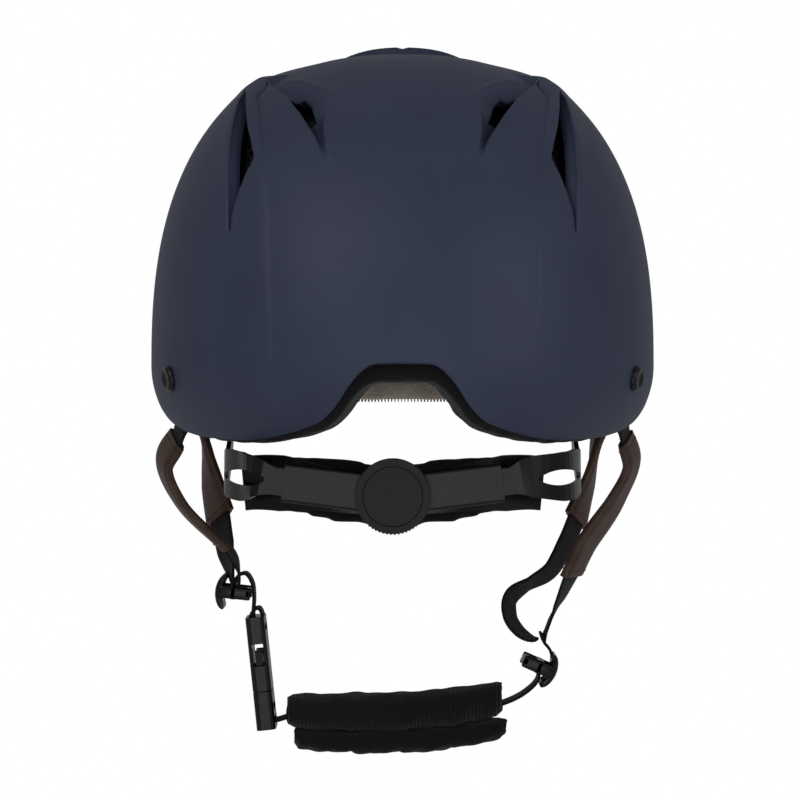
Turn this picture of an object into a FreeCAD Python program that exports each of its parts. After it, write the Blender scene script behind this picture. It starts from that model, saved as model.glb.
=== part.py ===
"""Equestrian riding helmet: shell, foam liner, straps, nape cradle with a dial, chin strap with a buckle.

Millimetres. +X is the wearer's right, +Y the face, +Z up. The origin is the centre of the head opening
at the level of the brow. Angles called turn go round Z from the nape (-Y) towards +X.
"""
import FreeCAD, Part
import math
import os
import Sketcher
from FreeCAD import Placement, Rotation
from FreeCAD import Vector as V

os.makedirs("parts", exist_ok=True)
doc = FreeCAD.newDocument("riding_helmet")

# ---------------------------------------------------------------- driving dimensions
SIZES = {
    # shell
    "shell_half_width": 111, "shell_rear": 135, "shell_front": 130, "shell_rise": 140, "shell_tuck": 67,
    "equator": 15, "shell_wall": 3, "skin_gap": 0.6,
    # head cavity in the foam
    "cavity_half_width": 88, "cavity_rear": 106, "cavity_front": 104, "cavity_rise": 117, "cavity_tuck": 400,
    # rim heights
    "notch_top": 15, "rim_low": -16.5, "ear_rise": 10, "brow_rise": 2, "binding_tall": 4, "binding_drop": 1.5,
    "notch_drop": 8, "binding_gap": 0.5,
    # straps
    "web_wide": 15, "web_thick": 1.2, "leather_wide": "=web_wide + 5", "leather_thick": 4.2,
    "slot_wide": "=web_wide + 1.4", "divider_wide": "=web_wide + 5",
    "sleeve_gap": 0.3, "rivet_radius": 5.5, "rivet_dome": 2.2,
    "shank_radius": 2, "washer_radius": 7, "washer_thick": 1.2,
    # comfort pads
    "brow_thick": 8, "brow_low": -1.4, "brow_top": 34, "crown_thick": 7, "crown_low": 112, "pad_gap": 0.4,
    "dot_radius": 9,
    # nape cradle
    "dial_x": -4, "dial_y": -108, "dial_z": -39, "knob_radius": 15.4, "knob_thick": 8, "housing_radius": 15,
    "housing_thick": 9, "housing_wall": 1.6, "wing_reach": 45, "wing_tilt": 7,
    "pitch_radius": 3.6, "strip_tall": "=2 * pitch_radius + 3.8", "wing_tall": "=strip_tall + 5",
    "strip_thick": 1.2, "strip_gap": 0.4, "pinion_teeth": 8,
    "hub_radius": 2.6, "running_gap": 0.05, "free_gap": 0.35,
    "stud_x": 77, "stud_y": 4, "stud_z": 26, "stud_radius": 2, "eye_radius": 7, "arm_thick": 2,
    # chin strap
    "buckle_wide": "=web_wide + 7", "buckle_thick": 8.5, "socket_long": 33,
    "prong_thick": 3.2, "buckle_lean": 6,
    "peak_reach": 46, "peak_thick": 3,
}
sheet = doc.addObject("Spreadsheet::Sheet", "Sizes")
for row, (alias, value) in enumerate(SIZES.items(), 1):
    sheet.set("A%d" % row, alias)
    sheet.set("B%d" % row, str(value))
    sheet.setAlias("B%d" % row, alias)
doc.recompute()


def size(alias):
    return float(sheet.get(alias))


def cell(expression):
    """An expression whose $words are cells of the sheet."""
    return expression.replace("$", "Sizes.")


nodes = []


def keep(item, label):
    """Names a document object and hands it in as a sub-part."""
    item.Label = label
    nodes.append(item)
    return item


def shape_node(label, shape):
    feature = doc.addObject("Part::Feature", label)
    feature.Shape = shape
    return keep(feature, label)


def sketch(body, role, name, lift=0):
    """An empty sketch on one of the body's own origin planes, lifted along the plane's normal."""
    made = body.newObject("Sketcher::SketchObject", name)
    plane = [p for p in body.Origin.OriginFeatures if p.Role == role][0]
    made.AttachmentSupport = (plane, [""])
    made.MapMode = "FlatFace"
    made.AttachmentOffset = Placement(V(0, 0, lift), Rotation())
    return made


def circle(where, radius_cell, x=0, y=0):
    """A circle whose radius is bound to the sheet."""
    index = where.addGeometry(Part.Circle(V(x, y, 0), V(0, 0, 1), 1), False)
    where.addConstraint(Sketcher.Constraint("Radius", index, 1))
    where.setExpression("Constraints[%d]" % (where.ConstraintCount - 1), cell(radius_cell))
    return index


def loop(where, points):
    """A closed outline of straight lines."""
    for start, end in zip(points, points[1:] + points[:1]):
        where.addGeometry(Part.LineSegment(V(*start, 0), V(*end, 0)), False)


def pad(body, profile, length_cell, name, back=False):
    made = body.newObject("PartDesign::Pad", name)
    made.Profile = profile
    made.setExpression("Length", cell(length_cell))
    made.Reversed = back
    return made


def pocket(body, profile, length_cell, name, back=False):
    made = body.newObject("PartDesign::Pocket", name)
    made.Profile = profile
    made.setExpression("Length", cell(length_cell))
    made.Reversed = back
    return made


def polar(body, feature, count_cell, name):
    """Repeats a feature round the body's own Z axis."""
    made = body.newObject("PartDesign::PolarPattern", name)
    made.Originals = [feature]
    made.Axis = ([a for a in body.Origin.OriginFeatures if a.Role == "Z_Axis"][0], [""])
    made.Angle = 360
    made.setExpression("Occurrences", cell(count_cell))
    body.Tip = made
    return made


# ---------------------------------------------------------------- the dome
class Dome:
    """A helmet-shaped skin: egg-shaped in plan, squarish in profile, tucked in below its widest level."""

    plan_power, side_power, length_power = 2.2, 2.5, 2.2

    def __init__(self, side, rear, front, rise, tuck, depth=0):
        self.side, self.rear, self.front = side - depth, rear - depth, front - depth
        self.rise, self.tuck = rise - depth, tuck - depth

    def at(self, turn, fall):
        """The point at a turn round Z and a fall from the crown, both in radians."""
        across, along = math.sin(turn), math.cos(turn)
        half_length = self.rear if along > 0 else self.front
        plan = (abs(across) / self.side) ** self.plan_power + (abs(along) / half_length) ** self.plan_power
        reach = plan ** (-1 / self.plan_power)
        power = self.length_power + (self.side_power - self.length_power) * across**2
        height = self.rise
        if fall > math.pi / 2:
            power, height = 2, self.tuck
        out, up = math.sin(fall), math.cos(fall)
        ray = ((out / reach) ** power + (abs(up) / height) ** power) ** (-1 / power)
        return V(ray * out * across, -ray * out * along, size("equator") + ray * up)

    def fall_to(self, turn, level):
        """The fall at which the skin reaches a level."""
        low, high = 0.0, math.radians(170)
        for _ in range(40):
            middle = (low + high) / 2
            if self.at(turn, middle).z > level:
                low = middle
            else:
                high = middle
        return low

    def on(self, turn_deg, level):
        """The point at a turn in degrees and a level."""
        turn = math.radians(turn_deg)
        return self.at(turn, self.fall_to(turn, level))

    def normal(self, point):
        """The outward normal near a point of the skin."""
        turn = math.atan2(point.x, -point.y)
        fall = self.fall_to(turn, point.z)
        step = 0.01
        down = self.at(turn, fall + step) - self.at(turn, fall - step)
        round_ = self.at(turn + step, fall) - self.at(turn - step, fall)
        return down.cross(round_).normalize()


def shell_skin(depth=0):
    names = ("shell_half_width", "shell_rear", "shell_front", "shell_rise", "shell_tuck")
    return Dome(*[size(n) for n in names], depth)


def cavity_skin(depth=0):
    names = ("cavity_half_width", "cavity_rear", "cavity_front", "cavity_rise", "cavity_tuck")
    return Dome(*[size(n) for n in names], depth)


# How far the rim falls from the notch's top to its low point, by degrees of turn; then how far it rises to
# the ear, and falls again to the brow.
NOTCH = [(0, 0), (5.8, 0.01), (9, 0.25), (11.6, 0.54), (15, 0.75), (20.4, 0.87), (27, 0.96), (34, 1)]
TO_EAR = [(34, 0), (50, 0.04), (60, 0.13), (70, 0.28), (80, 0.57), (90, 0.85), (100, 1)]
TO_BROW = [(100, 1), (112, 1), (130, 0.5), (150, 0.12), (180, 0)]


def between(rows, degrees):
    """Reads a value from rows of (degrees, value), straight between them."""
    for (a, u), (b, v) in zip(rows, rows[1:]):
        if degrees <= b:
            return u + (v - u) * (degrees - a) / (b - a)
    return rows[-1][1]


def rim(turn):
    """The height of the shell's lower edge at a turn."""
    degrees = abs(math.degrees(math.remainder(turn, 2 * math.pi)))
    low, ear, brow = size("rim_low"), size("ear_rise"), size("brow_rise")
    if degrees < NOTCH[-1][0]:
        return size("notch_top") + (low - size("notch_top")) * between(NOTCH, degrees)
    if degrees < TO_EAR[-1][0]:
        return low + (ear - low) * between(TO_EAR, degrees)
    return brow + (ear - brow) * between(TO_BROW, degrees)


def binding_low(turn):
    """The height of the flocked edge's lower side: deep in the notch, a thin line elsewhere."""
    degrees = abs(math.degrees(math.remainder(turn, 2 * math.pi)))
    inside_notch = 1 - between(NOTCH, degrees) if degrees < NOTCH[-1][0] else 0
    return rim(turn) - size("binding_drop") - (size("notch_drop") - size("binding_drop")) * inside_notch


def binding_top(turn):
    return rim(turn) + size("binding_tall")


FINE, COARSE, NOTCH_TURN = 1.5, 4, 36
TURNS = [math.radians(i * FINE) for i in range(-24, 24)]
TURNS += [math.radians(NOTCH_TURN + i * COARSE) for i in range(0, 72)]
CAP_FALL, RINGS, SEW = math.radians(5), 18, 0.01


def ring(points):
    curve = Part.BSplineCurve()
    marks = [turn - TURNS[0] for turn in TURNS] + [2 * math.pi]
    curve.interpolate(Points=points, PeriodicFlag=True, Parameters=marks)
    return Part.Wire([curve.toShape()])


def skin_rings(dome, low):
    """Rings from a small flat crown down to the level low(turn)."""
    rings = []
    for index in range(RINGS + 1):
        points = []
        for turn in TURNS:
            bottom = dome.fall_to(turn, low(turn))
            points.append(dome.at(turn, CAP_FALL + (bottom - CAP_FALL) * index / RINGS))
        if index == 0:
            top = max(p.z for p in points)
            points = [V(p.x, p.y, top) for p in points]
        rings.append(ring(points))
    return rings


def closed_solid(faces):
    shell = Part.makeShell(faces)
    shell.sewShape(SEW)
    return Part.makeSolid(shell.Shells[0] if shell.Shells else shell)


def dome_layer(outer, inner, low):
    """The closed solid between two skins, open below the level low(turn)."""
    out, into = skin_rings(outer, low), skin_rings(inner, low)
    faces = Part.makeLoft(out, False, False, False).Faces + Part.makeLoft(into, False, False, False).Faces
    faces += Part.makeRuledSurface(out[-1].Edges[0], into[-1].Edges[0]).Faces
    faces += [Part.Face(out[0]), Part.Face(into[0])]
    return closed_solid(faces)


# The binding is thinner where a strap passes between it and the shell, at these turns.
STRAP_TURNS, STRAP_SPAN, STRAP_RECESS = (76, 109), 12, 6.6


def strap_recess(turn):
    """How far the binding's outer face steps back for a strap at a turn."""
    degrees = abs(math.degrees(math.remainder(turn, 2 * math.pi)))
    near = min(abs(degrees - middle) for middle in STRAP_TURNS)
    return STRAP_RECESS * max(0, min(1, (STRAP_SPAN - near) / 3))


def binding_ring(depth, inner):
    """The flocked edge: a closed ring between the shell and the cavity, from binding_low to binding_top."""
    sections = []
    for turn in TURNS:
        low, top = binding_low(turn), binding_top(turn) - size("binding_gap")
        outer = shell_skin(depth + strap_recess(turn))
        corners = [skin.at(turn, skin.fall_to(turn, level)) for skin, level in
                   ((outer, low), (outer, top), (inner, top), (inner, low))]
        sections.append(Part.makePolygon(corners + corners[:1]))
    return Part.makeLoft(sections, True, True, True)


def skin_patch(dome, near, far, turns, low, high, steps=9):
    """A piece of the layer between depths near and far, over a span of turns and levels, as a loft."""
    sections = []
    for index in range(steps):
        turn = math.radians(turns[0] + (turns[1] - turns[0]) * index / (steps - 1))
        edges = []
        for depth in (near, far):
            skin = dome(depth)
            start, end = skin.fall_to(turn, high), skin.fall_to(turn, low)
            curve = Part.BSplineCurve()
            curve.interpolate([skin.at(turn, start + (end - start) * k / 6) for k in range(7)])
            edges.append(curve)
        near_curve, far_curve = edges
        sections.append(Part.Wire([
            near_curve.toShape(),
            Part.makeLine(near_curve.EndPoint, far_curve.EndPoint),
            far_curve.toShape(),
            Part.makeLine(far_curve.StartPoint, near_curve.StartPoint),
        ]))
    return Part.makeLoft(sections, True, False, False)


RIBBON_STEP = 4


def smooth(stations, wides):
    """Evenly spaced stations on a smooth curve through the given ones."""
    points = [point for point, _ in stations]
    if len(points) < 3:
        return stations, wides
    curve = Part.BSplineCurve()
    marks = [0.0]
    for first, second in zip(points, points[1:]):
        marks.append(marks[-1] + (second - first).Length ** 0.5)
    curve.interpolate(Points=points, Parameters=marks)
    out, out_wides = [], []
    for index in range(len(points) - 1):
        count = max(1, round((points[index + 1] - points[index]).Length / RIBBON_STEP))
        for step in range(count):
            share = step / count
            mark = marks[index] + (marks[index + 1] - marks[index]) * share
            face = stations[index][1] * (1 - share) + stations[index + 1][1] * share
            out.append((curve.value(mark), face))
            out_wides.append(wides[index] * (1 - share) + wides[index + 1] * share)
    out.append(stations[-1])
    out_wides.append(wides[-1])
    return out, out_wides


def ribbon(stations, wide, thick):
    """A flat strap through stations of (point, face direction). wide is a number or one per station."""
    wides = wide if isinstance(wide, list) else [wide] * len(stations)
    stations, wides = smooth(stations, wides)
    wires = []
    for index, (point, face) in enumerate(stations):
        before = stations[max(index - 1, 0)][0]
        after = stations[min(index + 1, len(stations) - 1)][0]
        along = (after - before).normalize()
        side = along.cross(face).normalize()
        out = side.cross(along).normalize()
        half, skin = side * (wides[index] / 2), out * (thick / 2)
        corners = [point - half - skin, point + half - skin, point + half + skin, point - half + skin]
        wires.append(Part.makePolygon(corners + corners[:1]))
    return Part.makeLoft(wires, True, True, False)


def facing(degrees, lift=0):
    """A direction in plan, from +X towards +Y, with an upward lift."""
    return V(math.cos(math.radians(degrees)), math.sin(math.radians(degrees)), lift)


# ---------------------------------------------------------------- vents, by (distance from the middle, level)
SLIT_VENT = [(69.8, 128.1), (71, 118.1), (71.7, 108.6), (71.7, 93.2), (71.5, 77.8), (70.8, 68.7),
             (69.9, 77.1), (67.4, 85.4), (64.3, 93.1), (60.3, 99.7), (61.9, 104.9), (63.7, 112.9),
             (64.5, 119.9), (65.2, 128.1), (66.8, 132)]
SCOOP_VENT = [(51.8, 130.2), (47.6, 132.7), (42, 128), (36.7, 121.9), (39.6, 121.1), (47.2, 126.1)]
SCOOP_ROOM = [(31, 97), (35.7, 108.3), (41.9, 118.3), (48.4, 127), (53, 131), (52.5, 134), (50.4, 137.5),
              (45.5, 138.5), (39.8, 136.8), (34.1, 133.4), (29.5, 129.9), (31.8, 123), (32.8, 117.1),
              (32.3, 109.4)]
VENT_BACK, VENT_FRONT, VENT_LOW, VENT_DEPTH = 200, 8, 40, 16
FOAM_MARGIN, MESH_DEPTH, MESH_THICK = 2, 8, 1


def vent_prism(outline, side, margin=0):
    """A bar along Y with a vent's outline widened by a margin, on one side (-1 or +1)."""
    points = [V(side * x, -VENT_BACK, z) for x, z in outline]
    face = Part.Face(Part.makePolygon(points + points[:1]))
    if margin:
        face = face.makeOffset2D(margin)
    return face.extrude(V(0, VENT_BACK - VENT_FRONT, 0))


def vent_layer(outer_depth, inner_depth):
    """The layer between two depths under the shell's surface, down to below the lowest vent."""
    return dome_layer(shell_skin(outer_depth), shell_skin(inner_depth), lambda turn: VENT_LOW)


def vent_cutters(outlines, margin):
    core = vent_layer(-4, VENT_DEPTH)
    return [core.common(vent_prism(outline, side, margin)) for outline in outlines for side in (-1, 1)]


# ---------------------------------------------------------------- rivets and strap routes
RIVET_TURNS, RIVET_LEVELS = (54.5, 118), (9, 30)
DOT_TURNS, DOT_LEVEL = (75, 100, -75, -100), 64


def rivet_places():
    """(point on the shell, outward normal) of the four strap rivets: rear pair, then front pair."""
    skin = shell_skin()
    places = []
    for turn, level in zip(RIVET_TURNS, RIVET_LEVELS):
        for side in (-1, 1):
            point = skin.on(side * turn, level)
            places.append((point, skin.normal(point)))
    return places


def at_rivets(shape, depth):
    """Copies of a shape made along +Z, one at each rivet, its zero a depth inside the shell."""
    copies = []
    for point, normal in rivet_places():
        copy = shape.copy()
        copy.Placement = Placement(point - normal * depth, Rotation(V(0, 0, 1), normal))
        copies.append(copy)
    return copies


def inside_route(turns_levels):
    """Stations of a strap between shell and liner."""
    depth = size("shell_wall") + size("skin_gap") + size("web_thick") / 2 + 0.6
    skin = shell_skin(depth)
    points = [skin.on(turn, level) for turn, level in turns_levels]
    return [(p, skin.normal(p)) for p in points]


# Inside: (degrees of turn, level). Hanging: (x, y, z, face direction in degrees, its upward lift). Then how
# many of the hanging stations the leather sleeve covers.
STRAPS = {
    "rear_left": (
        [(-54.5, 9), (-64, 3), (-72, -4), (-77, -9)],
        [(-99, -18.5, -17, 198, 0), (-105, -15, -28, 202, 0), (-98, -9, -46, 198, 0),
         (-79.5, -2.5, -65.5, 194, 0), (-73.9, 3, -73, 188, 0), (-73.4, 7, -79.5, 184, 0),
         (-74.1, 9, -84.5, 180, 0), (-74.1, 9, -89, 180, 0)], 4),
    "front_left": (
        [(-118, 30), (-113, 18), (-109, 12)],
        [(-95, 41, -2, 165, 0), (-91, 40, -18, 180, 0), (-88, 34, -36, 205, 0), (-83, 25, -54, 222, 0),
         (-80, 17, -67, 216, 0), (-77.2, 11.5, -77, 192, 0), (-75.9, 9, -84.5, 180, 0),
         (-75.9, 9, -89, 180, 0)], 4),
    "rear_right": (
        [(54.5, 9), (64, 3), (72, -4), (77, -9)],
        [(98, -18.5, -17, -18, 0), (101, -15, -28, -24, 0), (94, -9, -45, -28, 0), (82, -4, -64, -30, 0),
         (75.5, 0, -78, -30, 0), (70, 4, -91, -20, 0), (65.5, 8, -101, -6, 0), (63.6, 9, -107, 0, 0)], 5),
    "front_right": (
        [(118, 30), (113, 18), (109, 12)],
        [(95, 41, -2, 15, 0), (90, 40, -18, 10, 0), (86, 34, -36, -10, 0), (79, 27, -55, -30, 0),
         (73.5, 23.5, -67, -28, 0), (67, 21, -77.5, -45, -0.8), (57, 18.5, -83.5, -85, -2),
         (49, 16, -89.5, -60, -0.9), (48.5, 13.5, -97.5, -50, 0), (52.5, 11, -104, -40, -0.9),
         (57.5, 9.5, -107.3, -20, -3), (60.6, 9, -107.8, 0, -4)], 4),
}


ROUTED_HALF_WIDTH = 111  # the shell's half width that the hanging stations were laid out for


def strap_stations(name):
    """All stations of one strap, the number that lies inside the shell, and the number in the sleeve."""
    inside, hanging, leather = STRAPS[name]
    stations = inside_route(inside)
    extra = size("shell_half_width") / ROUTED_HALF_WIDTH - 1
    for index, (x, y, z, angle, lift) in enumerate(hanging):
        spread = 1 + extra * (1 - index / (len(hanging) - 1))
        stations.append((V(x * spread, y, z), facing(angle, lift)))
    return stations, len(inside), leather


def make_straps():
    wide, thick = size("web_wide"), size("web_thick")
    gap = size("sleeve_gap")
    channels = []
    punches = at_rivets(Part.makeCylinder(size("shank_radius") + gap, 20, V(0, 0, -14)), 0)
    for name in STRAPS:
        stations, inside, leather = strap_stations(name)
        web = ribbon(stations, wide, thick)
        shape_node("strap_" + name, web.cut(punches))
        sleeve = stations[inside:inside + leather]
        outer = ribbon(sleeve, size("leather_wide"), size("leather_thick"))
        first, last = sleeve[0], sleeve[-1]
        start = (first[0] + (first[0] - sleeve[1][0]).normalize() * 3, first[1])
        end = (last[0] + (last[0] - sleeve[-2][0]).normalize() * 3, last[1])
        bore = ribbon([start] + sleeve + [end], wide + 2 * gap + 1, thick + 2 * gap + 0.8)
        shape_node("leather_" + name, outer.cut(bore))
        above = (stations[0][0] + (stations[0][0] - stations[1][0]).normalize() * 4, stations[0][1])
        channels.append(ribbon([above] + stations[:inside + 1], size("leather_wide") + 2,
                               size("leather_thick") + 1.6))
    return channels


# ---------------------------------------------------------------- shell, liner, binding, peak
def make_helmet():
    wall, gap = size("shell_wall"), size("skin_gap")
    channels = make_straps()
    openings = vent_cutters((SLIT_VENT, SCOOP_VENT), 0)
    foam_rooms = vent_cutters((SLIT_VENT, SCOOP_ROOM), FOAM_MARGIN)
    holes = at_rivets(Part.makeCylinder(size("shank_radius") + gap, 14, V(0, 0, -7)), 0)
    seats = at_rivets(Part.makeCylinder(size("washer_radius") + gap, 9, V(0, 0, -9)), wall + gap / 2)
    shell = dome_layer(shell_skin(), shell_skin(wall), rim)
    shape_node("outer_shell", shell.cut(openings + holes))
    liner_skin = shell_skin(wall + gap)
    liner = dome_layer(liner_skin, cavity_skin(), binding_top)
    shape_node("impact_liner", liner.cut(foam_rooms + seats + channels + dot_recesses()))
    shape_node("edge_binding", binding_ring(wall + gap, cavity_skin()))
    mesh_layer = vent_layer(MESH_DEPTH, MESH_DEPTH + MESH_THICK)
    for side, word in ((-1, "left"), (1, "right")):
        plate = mesh_layer.common(vent_prism(SLIT_VENT, side, FOAM_MARGIN))
        shape_node("vent_mesh_" + word, plate.cut(mesh_holes(side)))
    peak_span, root_level, tip_drop, sections = 56, 15, 11, []
    skin = shell_skin(-0.4)
    for index in range(-8, 9):
        share = index / 8
        turn = 180 + peak_span * share
        root = skin.on(turn, root_level)
        out = V(root.x, root.y, 0).normalize()
        out = (out + V(0, 0.9, 0) * (1 - abs(share)) + V(0, 0.6, 0)).normalize()
        reach = 5 + (size("peak_reach") - 5) * (1 - share * share) ** 0.8
        tip = root + out * reach - V(0, 0, tip_drop * reach / size("peak_reach"))
        middle = (root + tip) * 0.5 + V(0, 0, 2.2)
        under = V(0, 0, size("peak_thick") * 0.8)
        low = root - V(0, 0, size("peak_thick"))
        corners = [root, middle, tip, tip - under, middle - under, low]
        sections.append(Part.makePolygon(corners + corners[:1]))
    shape_node("peak", Part.makeLoft(sections, True, True, False))


def mesh_holes(side):
    """Round holes in staggered rows through a vent mesh."""
    radius, pitch, holes = 1.0, 3.4, []
    for row in range(20):
        for column in range(5):
            x = 60 + column * pitch + (pitch / 2 if row % 2 else 0)
            z = 74 + row * pitch * 0.87
            if inside_outline(x, z, SLIT_VENT, radius - FOAM_MARGIN + 0.6):
                reach = VENT_BACK - VENT_FRONT
                holes.append(Part.makeCylinder(radius, reach, V(side * x, -VENT_BACK, z), V(0, 1, 0)))
    return holes


def inside_outline(x, z, outline, margin):
    """Whether a point is inside a polygon by more than a margin, or outside by less than a negative one."""
    inside, nearest = False, math.inf
    for (ax, az), (bx, bz) in zip(outline, outline[1:] + outline[:1]):
        if (az > z) != (bz > z) and x < (bx - ax) * (z - az) / (bz - az) + ax:
            inside = not inside
        edge = V(bx - ax, bz - az, 0)
        share = max(0, min(1, V(x - ax, z - az, 0).dot(edge) / edge.dot(edge)))
        nearest = min(nearest, (V(x - ax, z - az, 0) - edge * share).Length)
    return nearest > margin if inside else nearest < -margin


def make_rivets():
    """A domed cap with a shallow dish and a shank, turned in one body and set four times."""
    body = doc.addObject("PartDesign::Body", "rivet_form")
    profile = sketch(body, "XZ_Plane", "rivet_profile")
    cap, dome, shank = size("rivet_radius"), size("rivet_dome"), size("shank_radius")
    reach = size("shell_wall") + size("skin_gap") + 1.6
    loop(profile, [(0, -reach), (shank, -reach), (shank, 0.1), (cap - 0.3, 0.1), (cap, 0.7),
                   (cap * 0.86, dome * 0.8), (cap * 0.6, dome), (cap * 0.3, dome * 0.75), (0, dome * 0.7)])
    turned = body.newObject("PartDesign::Revolution", "rivet_turned")
    turned.Profile = profile
    turned.ReferenceAxis = (profile, ["V_Axis"])
    turned.Angle = 360
    doc.recompute()
    shape_node("strap_rivets", Part.makeCompound(at_rivets(body.Shape, -0.2)))
    ring_washer = Part.makeCylinder(size("washer_radius"), size("washer_thick"))
    ring_washer = ring_washer.cut(Part.makeCylinder(shank + 0.02, 4, V(0, 0, -1)))
    deep = size("shell_wall") + size("skin_gap") + size("web_thick") + 2.9
    shape_node("rivet_backs", Part.makeCompound(at_rivets(ring_washer, deep)))
    doc.removeObject(body.Name)


# ---------------------------------------------------------------- comfort pads
def dot_places():
    """(point on the cavity wall, its outward normal) of the hook-and-loop dots."""
    skin = cavity_skin()
    points = [skin.on(turn, DOT_LEVEL) for turn in DOT_TURNS]
    return [(point, skin.normal(point)) for point in points]


def dot_recesses():
    grown = size("dot_radius") + size("pad_gap")
    return [Part.makeCylinder(grown, 6, point - normal * 3.6, normal) for point, normal in dot_places()]


def make_comfort():
    gap = size("pad_gap")
    thick = size("brow_thick")
    shape_node("brow_pad", skin_patch(cavity_skin, gap, thick, (134, 226), size("brow_low"),
                                      size("brow_top"), 13))

    def crown_edge(turn):
        return size("crown_low")

    shape_node("crown_pad", dome_layer(cavity_skin(gap), cavity_skin(size("crown_thick")), crown_edge))
    webs = [skin_patch(cavity_skin, gap, 2, (turn - 7, turn + 7), size("brow_top") + 0.2,
                       size("crown_low") - 0.2, 5) for turn in (152, 180, 208)]
    shape_node("liner_webs", Part.makeCompound(webs))
    for side, word in ((-1, "left"), (1, "right")):
        span = (side * 62, side * 112) if side > 0 else (side * 112, side * 62)
        shape_node("side_pad_" + word, skin_patch(cavity_skin, gap, 7, span, 46, 82))
    dots = []
    for point, normal in dot_places():
        dots.append(Part.makeCylinder(size("dot_radius"), 1.4, point + normal * 0.6, normal))
    shape_node("hook_dots", Part.makeCompound(dots))


# ---------------------------------------------------------------- nape cradle
def dial_frame():
    """Places a shape drawn with +Z towards the rear, at the dial's centre on the housing's rear face."""
    centre = V(size("dial_x"), size("dial_y"), size("dial_z"))
    return Placement(centre, Rotation(V(1, 0, 0), 90))


def dial_body(name):
    body = doc.addObject("PartDesign::Body", name)
    for axis, alias in (("x", "dial_x"), ("y", "dial_y"), ("z", "dial_z")):
        body.setExpression("Placement.Base." + axis, cell("$" + alias))
    body.Placement.Rotation = Rotation(V(1, 0, 0), 90)
    return body


def make_knob():
    """The knurled knob, its flat cap, the pinion behind it and the screw from the head side."""
    lift = 0.4
    body = keep(dial_body("knob"), "dial_knob")
    disc = sketch(body, "XY_Plane", "knob_disc", lift)
    circle(disc, "$knob_radius")
    pad(body, disc, "$knob_thick", "knob_pad")
    recess = sketch(body, "XY_Plane", "knob_recess", lift + size("knob_thick"))
    circle(recess, "$knob_radius * 0.8")
    pocket(body, recess, "$knob_thick * 0.25", "knob_seat")
    flute = sketch(body, "XY_Plane", "knob_flute", lift + size("knob_thick"))
    circle(flute, "$knob_radius * 0.035", size("knob_radius") * 1.01, 0)
    cut = pocket(body, flute, "$knob_thick * 0.9", "flute_cut")
    doc.recompute()
    polar(body, cut, "60", "flutes")
    cap = keep(dial_body("cap"), "dial_cap")
    plate = sketch(cap, "XY_Plane", "cap_disc", lift + size("knob_thick") * 0.75)
    circle(plate, "$knob_radius * 0.8 - $running_gap * 8")
    pad(cap, plate, "$knob_thick * 0.25 - $running_gap * 6", "cap_pad")
    pinion = keep(dial_body("pinion"), "dial_pinion")
    length = size("housing_thick") - size("housing_wall") - 1.2
    root = sketch(pinion, "XY_Plane", "pinion_root", lift)
    circle(root, "$hub_radius")
    pad(pinion, root, "$housing_thick - $housing_wall - 1.2 + %s" % lift, "pinion_pad", True)
    tooth = sketch(pinion, "XY_Plane", "pinion_tooth", -size("housing_wall") - size("free_gap"))
    pitch, hub = size("pitch_radius"), size("hub_radius")
    loop(tooth, [(hub * 0.7, -0.6), (pitch + 0.6, -0.3), (pitch + 0.6, 0.3), (hub * 0.7, 0.6)])
    teeth = pad(pinion, tooth, "$housing_thick - 2 * $housing_wall - 1.2 - $free_gap", "tooth_pad", True)
    doc.recompute()
    polar(pinion, teeth, "$pinion_teeth", "teeth")
    bore = sketch(pinion, "XY_Plane", "pinion_bore", -length - 1)
    circle(bore, "1.2 + $running_gap")
    pocket(pinion, bore, "6", "screw_bore", True)
    screw = keep(dial_body("screw"), "dial_screw")
    head = sketch(screw, "XY_Plane", "screw_head", -length - 0.1)
    circle(head, "2.6")
    pad(screw, head, "1", "head_pad", True)
    shank = sketch(screw, "XY_Plane", "screw_shank", -length - 0.1)
    circle(shank, "1.2")
    pad(screw, shank, "4.6", "shank_pad")


def wing(side, tall, thick, start, end):
    """A bar along one wing of the housing, drawn in the dial frame with its rear face at zero."""
    bar = Part.makeBox(end - start, tall, thick, V(start, -tall / 2, -thick))
    bar.rotate(V(0, 0, 0), V(0, 0, 1), size("wing_tilt"))
    if side < 0:
        bar = bar.mirror(V(0, 0, 0), V(1, 0, 0))
    return bar


def strip_depth(side):
    """How deep the rear face of one toothed strip lies in the housing."""
    first = size("housing_wall") + size("strip_gap")
    return first if side < 0 else first + size("strip_thick") + size("strip_gap")


def make_housing():
    thick, wall, radius = size("housing_thick"), size("housing_wall"), size("housing_radius")
    reach, tall = size("wing_reach"), size("wing_tall")
    frame = dial_frame()
    drum = Part.makeCylinder(radius, thick, V(0, 0, -thick))
    solid = drum.fuse([wing(side, tall, thick, 0, reach) for side in (-1, 1)]).removeSplitter()
    rear_edges = [e for e in solid.Edges if e.CenterOfMass.z > -0.01 and e.Length > 20]
    rounded = solid.makeFillet(1.4, rear_edges)
    solid = rounded if rounded.isValid() else solid
    slot_tall = size("strip_tall") + 2 * size("free_gap")
    for side in (-1, 1):
        slot = wing(side, slot_tall, size("strip_thick") + size("strip_gap"), -18, reach + 1)
        slot.translate(V(0, 0, -strip_depth(side) + size("strip_gap") / 2))
        solid = solid.cut(slot)
    room = size("pitch_radius") + 1.4
    solid = solid.cut(Part.makeCylinder(room, thick - wall + 1, V(0, 0, -thick - 1)))
    solid = solid.cut(Part.makeCylinder(size("hub_radius") + size("running_gap"), 20, V(0, 0, -10)))
    solid.Placement = frame
    shape_node("dial_housing", solid)
    cover = Part.makeCylinder(radius - 1, 1.2, V(0, 0, -thick - 1.4))
    cover.Placement = frame
    shape_node("housing_cover", cover)
    spring = Part.makeCylinder(room - 0.5, 0.8, V(0, 0, -thick + 0.9))
    spring = spring.cut(Part.makeCylinder(3.2, 4, V(0, 0, -thick)))
    spring.Placement = frame
    shape_node("ratchet_ring", spring)


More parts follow.
